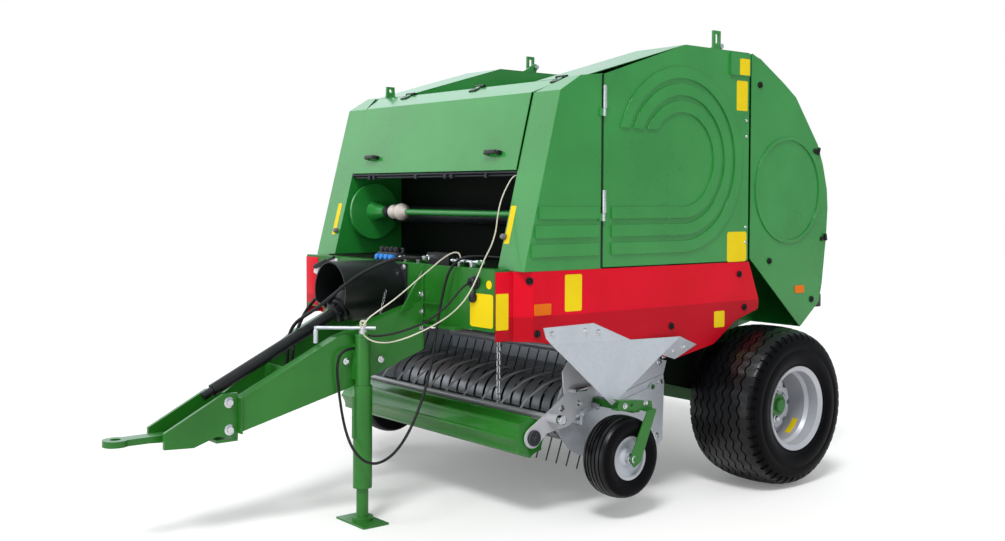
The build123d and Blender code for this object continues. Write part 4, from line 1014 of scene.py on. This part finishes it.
# knotted clump of rope on the jack's top
knots = []
for turn, lift in (
        ((0.3, 0.2, 0), 0.0), ((1.1, 0.5, 0.6), 0.006), ((-0.5, 0.9, 1.4), 0.011), ((0.1, -0.7, 2.2), 0.016)):
    deselect()
    bpy.ops.mesh.primitive_torus_add(
        major_radius=0.014, minor_radius=0.0036, major_segments=28, minor_segments=8,
        location=at(0.303, -2.317, 0.996 + lift), rotation=turn)
    knot = bpy.context.object
    knot.name = "knot"
    settle(knot)
    knots.append(knot)
hand(fuse("ropeKnot", knots), "chassis", creamCord)

# lugs at the gate's hinge line with their pins
for side, where in sides:
    shift = 0.0 if side > 0 else -0.095
    line = [
        (-0.262, 2.4925), (-0.262, 2.512), (-0.226, 2.53), (-0.18, 2.56), (-0.16, 2.572), (-0.138, 2.572),
        (-0.126, 2.56), (-0.124, 2.545), (-0.134, 2.53), (-0.15, 2.4925)]
    lug = cutPlate(
        "gateLug." + where, [at(side * 0.766, y + shift, z) for y, z in line], Vector((side * 0.012, 0, 0)), 0.0015)
    hand(lug, "chassis", greenPaint)
    pin = lathe(
        "gatePin." + where, at(side * 0.744, -0.146 + shift, 2.5495), (side, 0, 0),
        [(0, 0), (13, 0), (13, 6), (17, 8), (17, 52), (14, 58), (0, 60)], 28)
    hand(pin, "chassis", brightSteel)

# jack crank: a bright bar with a bent end and a turning grip over the handle
crank = [
    lathe("bar", at(0.346, -2.266, 0.984), (-0.198, -0.234, 0), [(0, 0), (8.8, 2), (8.8, 306), (0, 310)], 20),
    lathe("grip", at(0.148, -2.5, 0.992), (0, 0, -1),
          [(0, 0), (8.8, 2), (8.8, 20), (12, 24), (12, 84), (8.8, 88), (0, 90)], 20),
    lathe("nut", at(0.303, -2.317, 0.955), (0, 0, 1), [(0, 0), (21, 0), (21, 14), (15, 18), (15, 38), (0, 38)], 24)]
hand(fuse("crankBar", crank), "chassis", galvanised)

# ribbed roller: eight flats between pressed ridges, with its end plates
def buildRoller():
    middle = Vector((0, -1.648 + axleY, 0.43))
    outline = []
    for k in range(8):
        for turn, reach in (
                (-19.0, 0.0925), (-6.5, 0.0985), (-3.6, 0.1056), (3.6, 0.1056), (6.5, 0.0985), (19.0, 0.0925)):
            a = math.radians(45 * k + turn)
            outline.append(middle + Vector((-0.8258, reach * math.cos(a), reach * math.sin(a))))
    drum = cutPlate("pressRoller", outline, Vector((1.6516, 0, 0)), 0.0012)
    hubs = [lathe(
        "rollerEnd", middle + Vector((side * 0.8, 0, 0)), (side, 0, 0),
        [(0, 26), (58, 26), (58, 30), (30, 34), (0, 34)], 32) for side in (1, -1)]
    return fuse("pressRoller", [drum] + hubs)


hand(buildRoller(), "guard_roller", frameGreenPaintedShade, ("guard_roller",))

# windguard: bearing on each arm, the bright strut and the sleeve's end on the left and right
for side, where in sides:
    ring = lathe("rollerBearing." + where, at(side * 0.8515, -1.648, 0.43), (side, 0, 0), [
        (0, 0), (40, 0), (41, 12), (36, 16), (33, 13), (25, 13), (23.5, 19.5), (12, 20), (11, 24), (0, 24.5)], 40)
    hand(ring, "windguard", darkSteel)
    strut = [
        lathe("strut", at(side * 0.876, -1.402, 0.6468), (0, 1, 0.08),
        [(0, 0), (15, 2), (15.5, 10), (15, 94), (11, 102), (0, 102)], 24),
        lathe("sleeveEnd", at(side * 0.93, -1.54, 0.522), (side, 0, 0),
        [(0, 0), (24.8, 0), (24.8, 24), (22.5, 28.5), (18, 29), (17, 26), (0, 26)], 32)]
    hand(fuse("strut." + where, strut), "windguard", brightSteel)

# gauge wheels: dished zinc disc
for side, where in sides:
    dish = lathe("gaugeDish." + where, at(side * 1.064, -1.237, 0.32), (side, 0, 0), [
        (100, 60), (104.5, 58.5), (100, 50), (90, 44), (70, 40), (52, 43), (43, 52), (29, 58), (29, 54), (40, 48),
        (51, 39), (70, 36), (91, 40), (100, 45), (100, 60)], 48)
    hand(dish, "gauge_wheel_" + where, galvanised)

# inner side panel between the rail and the drop, and the red front plate at the right end of the crossbeam
for side, where in sides:
    line = [(-0.655, 1.062), (-0.655, 0.66), (-0.61, 0.6), (-0.33, 0.53), (-0.199, 0.52), (-0.199, 1.062)]
    panel = cutPlate(
        "innerPanel." + where, [at(side * 0.7202, y, z) for y, z in line], Vector((side * 0.004, 0, 0)), 0.0008)
    hand(panel, "chassis", darkPaintAndShade)
line = [(-0.909, 1.285), (-0.77, 1.285), (-0.77, 0.992), (-0.905, 1.01)]
hand(cutPlate("skirtWing", [at(x, -1.9502, z) for x, z in line], Vector((0, -0.003, 0)), 0.0006), "chassis", redPaint)

for pattern in patterns.values():
    bpy.data.objects.remove(pattern)
print("small fittings done")


# studio: white sky with a brighter cloud for gloss alone, one soft sun and three area lights
studio = dict(
    sky=0.66, shine=0.62, cloud=1.7, cloudAt=(-0.8, 0.18, 0.6), cloudSpan=(0.72, 0.97), sun=2.0, sunAngle=16,
    sunTurn=(34, 10, 20), floor=60, floorTone=0.8, floorGlow=0.16)
# area lights: place, size, energy and the height over the middle that each looks at
softLights = [((6.5, -3.0, 3.2), 4, 40, 1.2), ((-6.2, -4.6, 4.6), 5.5, 105, 1.6), ((1.0, -8.0, 0.9), 3.5, 90, 0.6)]


def buildStudio():
    bpy.ops.mesh.primitive_plane_add(size=studio["floor"], location=(0, 0, 0))
    floor = bpy.context.object
    floor.name = "studioFloor"
    mat, tree, shader = startMaterial("studioFloor")
    put(shader, "Base Color", (*[studio["floorTone"]] * 3, 1))
    put(shader, "Roughness", 0.7)
    put(shader, "Specular IOR Level", 0.15)
    path = addNode(tree, "LightPath", -600)
    glow = mathNode(tree, 'MULTIPLY', b=studio["floorGlow"], x=-300)
    wire(tree, (path, "Is Camera Ray", glow, 0))
    put(shader, "Emission Color", (1, 1, 1, 1))
    wire(tree, (glow, 0, shader, "Emission Strength"))
    floor.data.materials.append(mat)
    world = bpy.data.worlds.new("studioWorld")
    bpy.context.scene.world = world
    world.use_nodes = True
    sky = world.node_tree
    back = sky.nodes["Background"]
    put(back, "Strength", studio["sky"])
    seen = addNode(sky, "Background", 0, -200)
    put(seen, "Color", (1, 1, 1, 1))
    put(seen, "Strength", 1)
    rays = addNode(sky, "LightPath", -400, 200)
    # gloss alone sees a brighter cloud over the far side
    coords = addNode(sky, "TexCoord", -1000)
    toCloud = addNode(sky, "VectorMath", -800, operation='DOT_PRODUCT')
    put(toCloud, 1, Vector(studio["cloudAt"]).normalized())
    cloud = ramp(sky, *studio["cloudSpan"], -600, to=[studio[k] - studio["sky"] for k in ("shine", "cloud")])
    strength = mathNode(sky, 'MULTIPLY_ADD', x=-200, y=100)
    put(strength, 2, studio["sky"])
    tint = mixColor(sky, (1, 1, 1), (0.86, 0.96, 1.0), -200, 300)
    choose = addNode(sky, "MixShader", 200, 100)
    wire(
        sky, (coords, "Generated", toCloud, 0), (toCloud, "Value", cloud, "Value"),
        (rays, "Is Glossy Ray", strength, 0), (cloud, 0, strength, 1), (strength, 0, back, "Strength"),
        (rays, "Is Glossy Ray", tint, "Factor"), (tint, "Result", back, "Color"), (rays, "Is Camera Ray", choose, 0),
        (back, 0, choose, 1), (seen, 0, choose, 2), (choose, 0, sky.nodes["World Output"], 0))
    bpy.ops.object.light_add(type='SUN', location=(4, -4, 8))
    sun = bpy.context.object
    sun.data.energy = studio["sun"]
    sun.data.angle = math.radians(studio["sunAngle"])
    sun.rotation_euler = [math.radians(a) for a in studio["sunTurn"]]
    for place, size, energy, height in softLights:
        bpy.ops.object.light_add(type='AREA', location=place)
        light = bpy.context.object
        light.data.size = size
        light.data.energy = energy
        light.rotation_euler = (Vector((0, 0, height)) - light.location).to_track_quat('-Z', 'Y').to_euler()


buildStudio()
print("studio built")
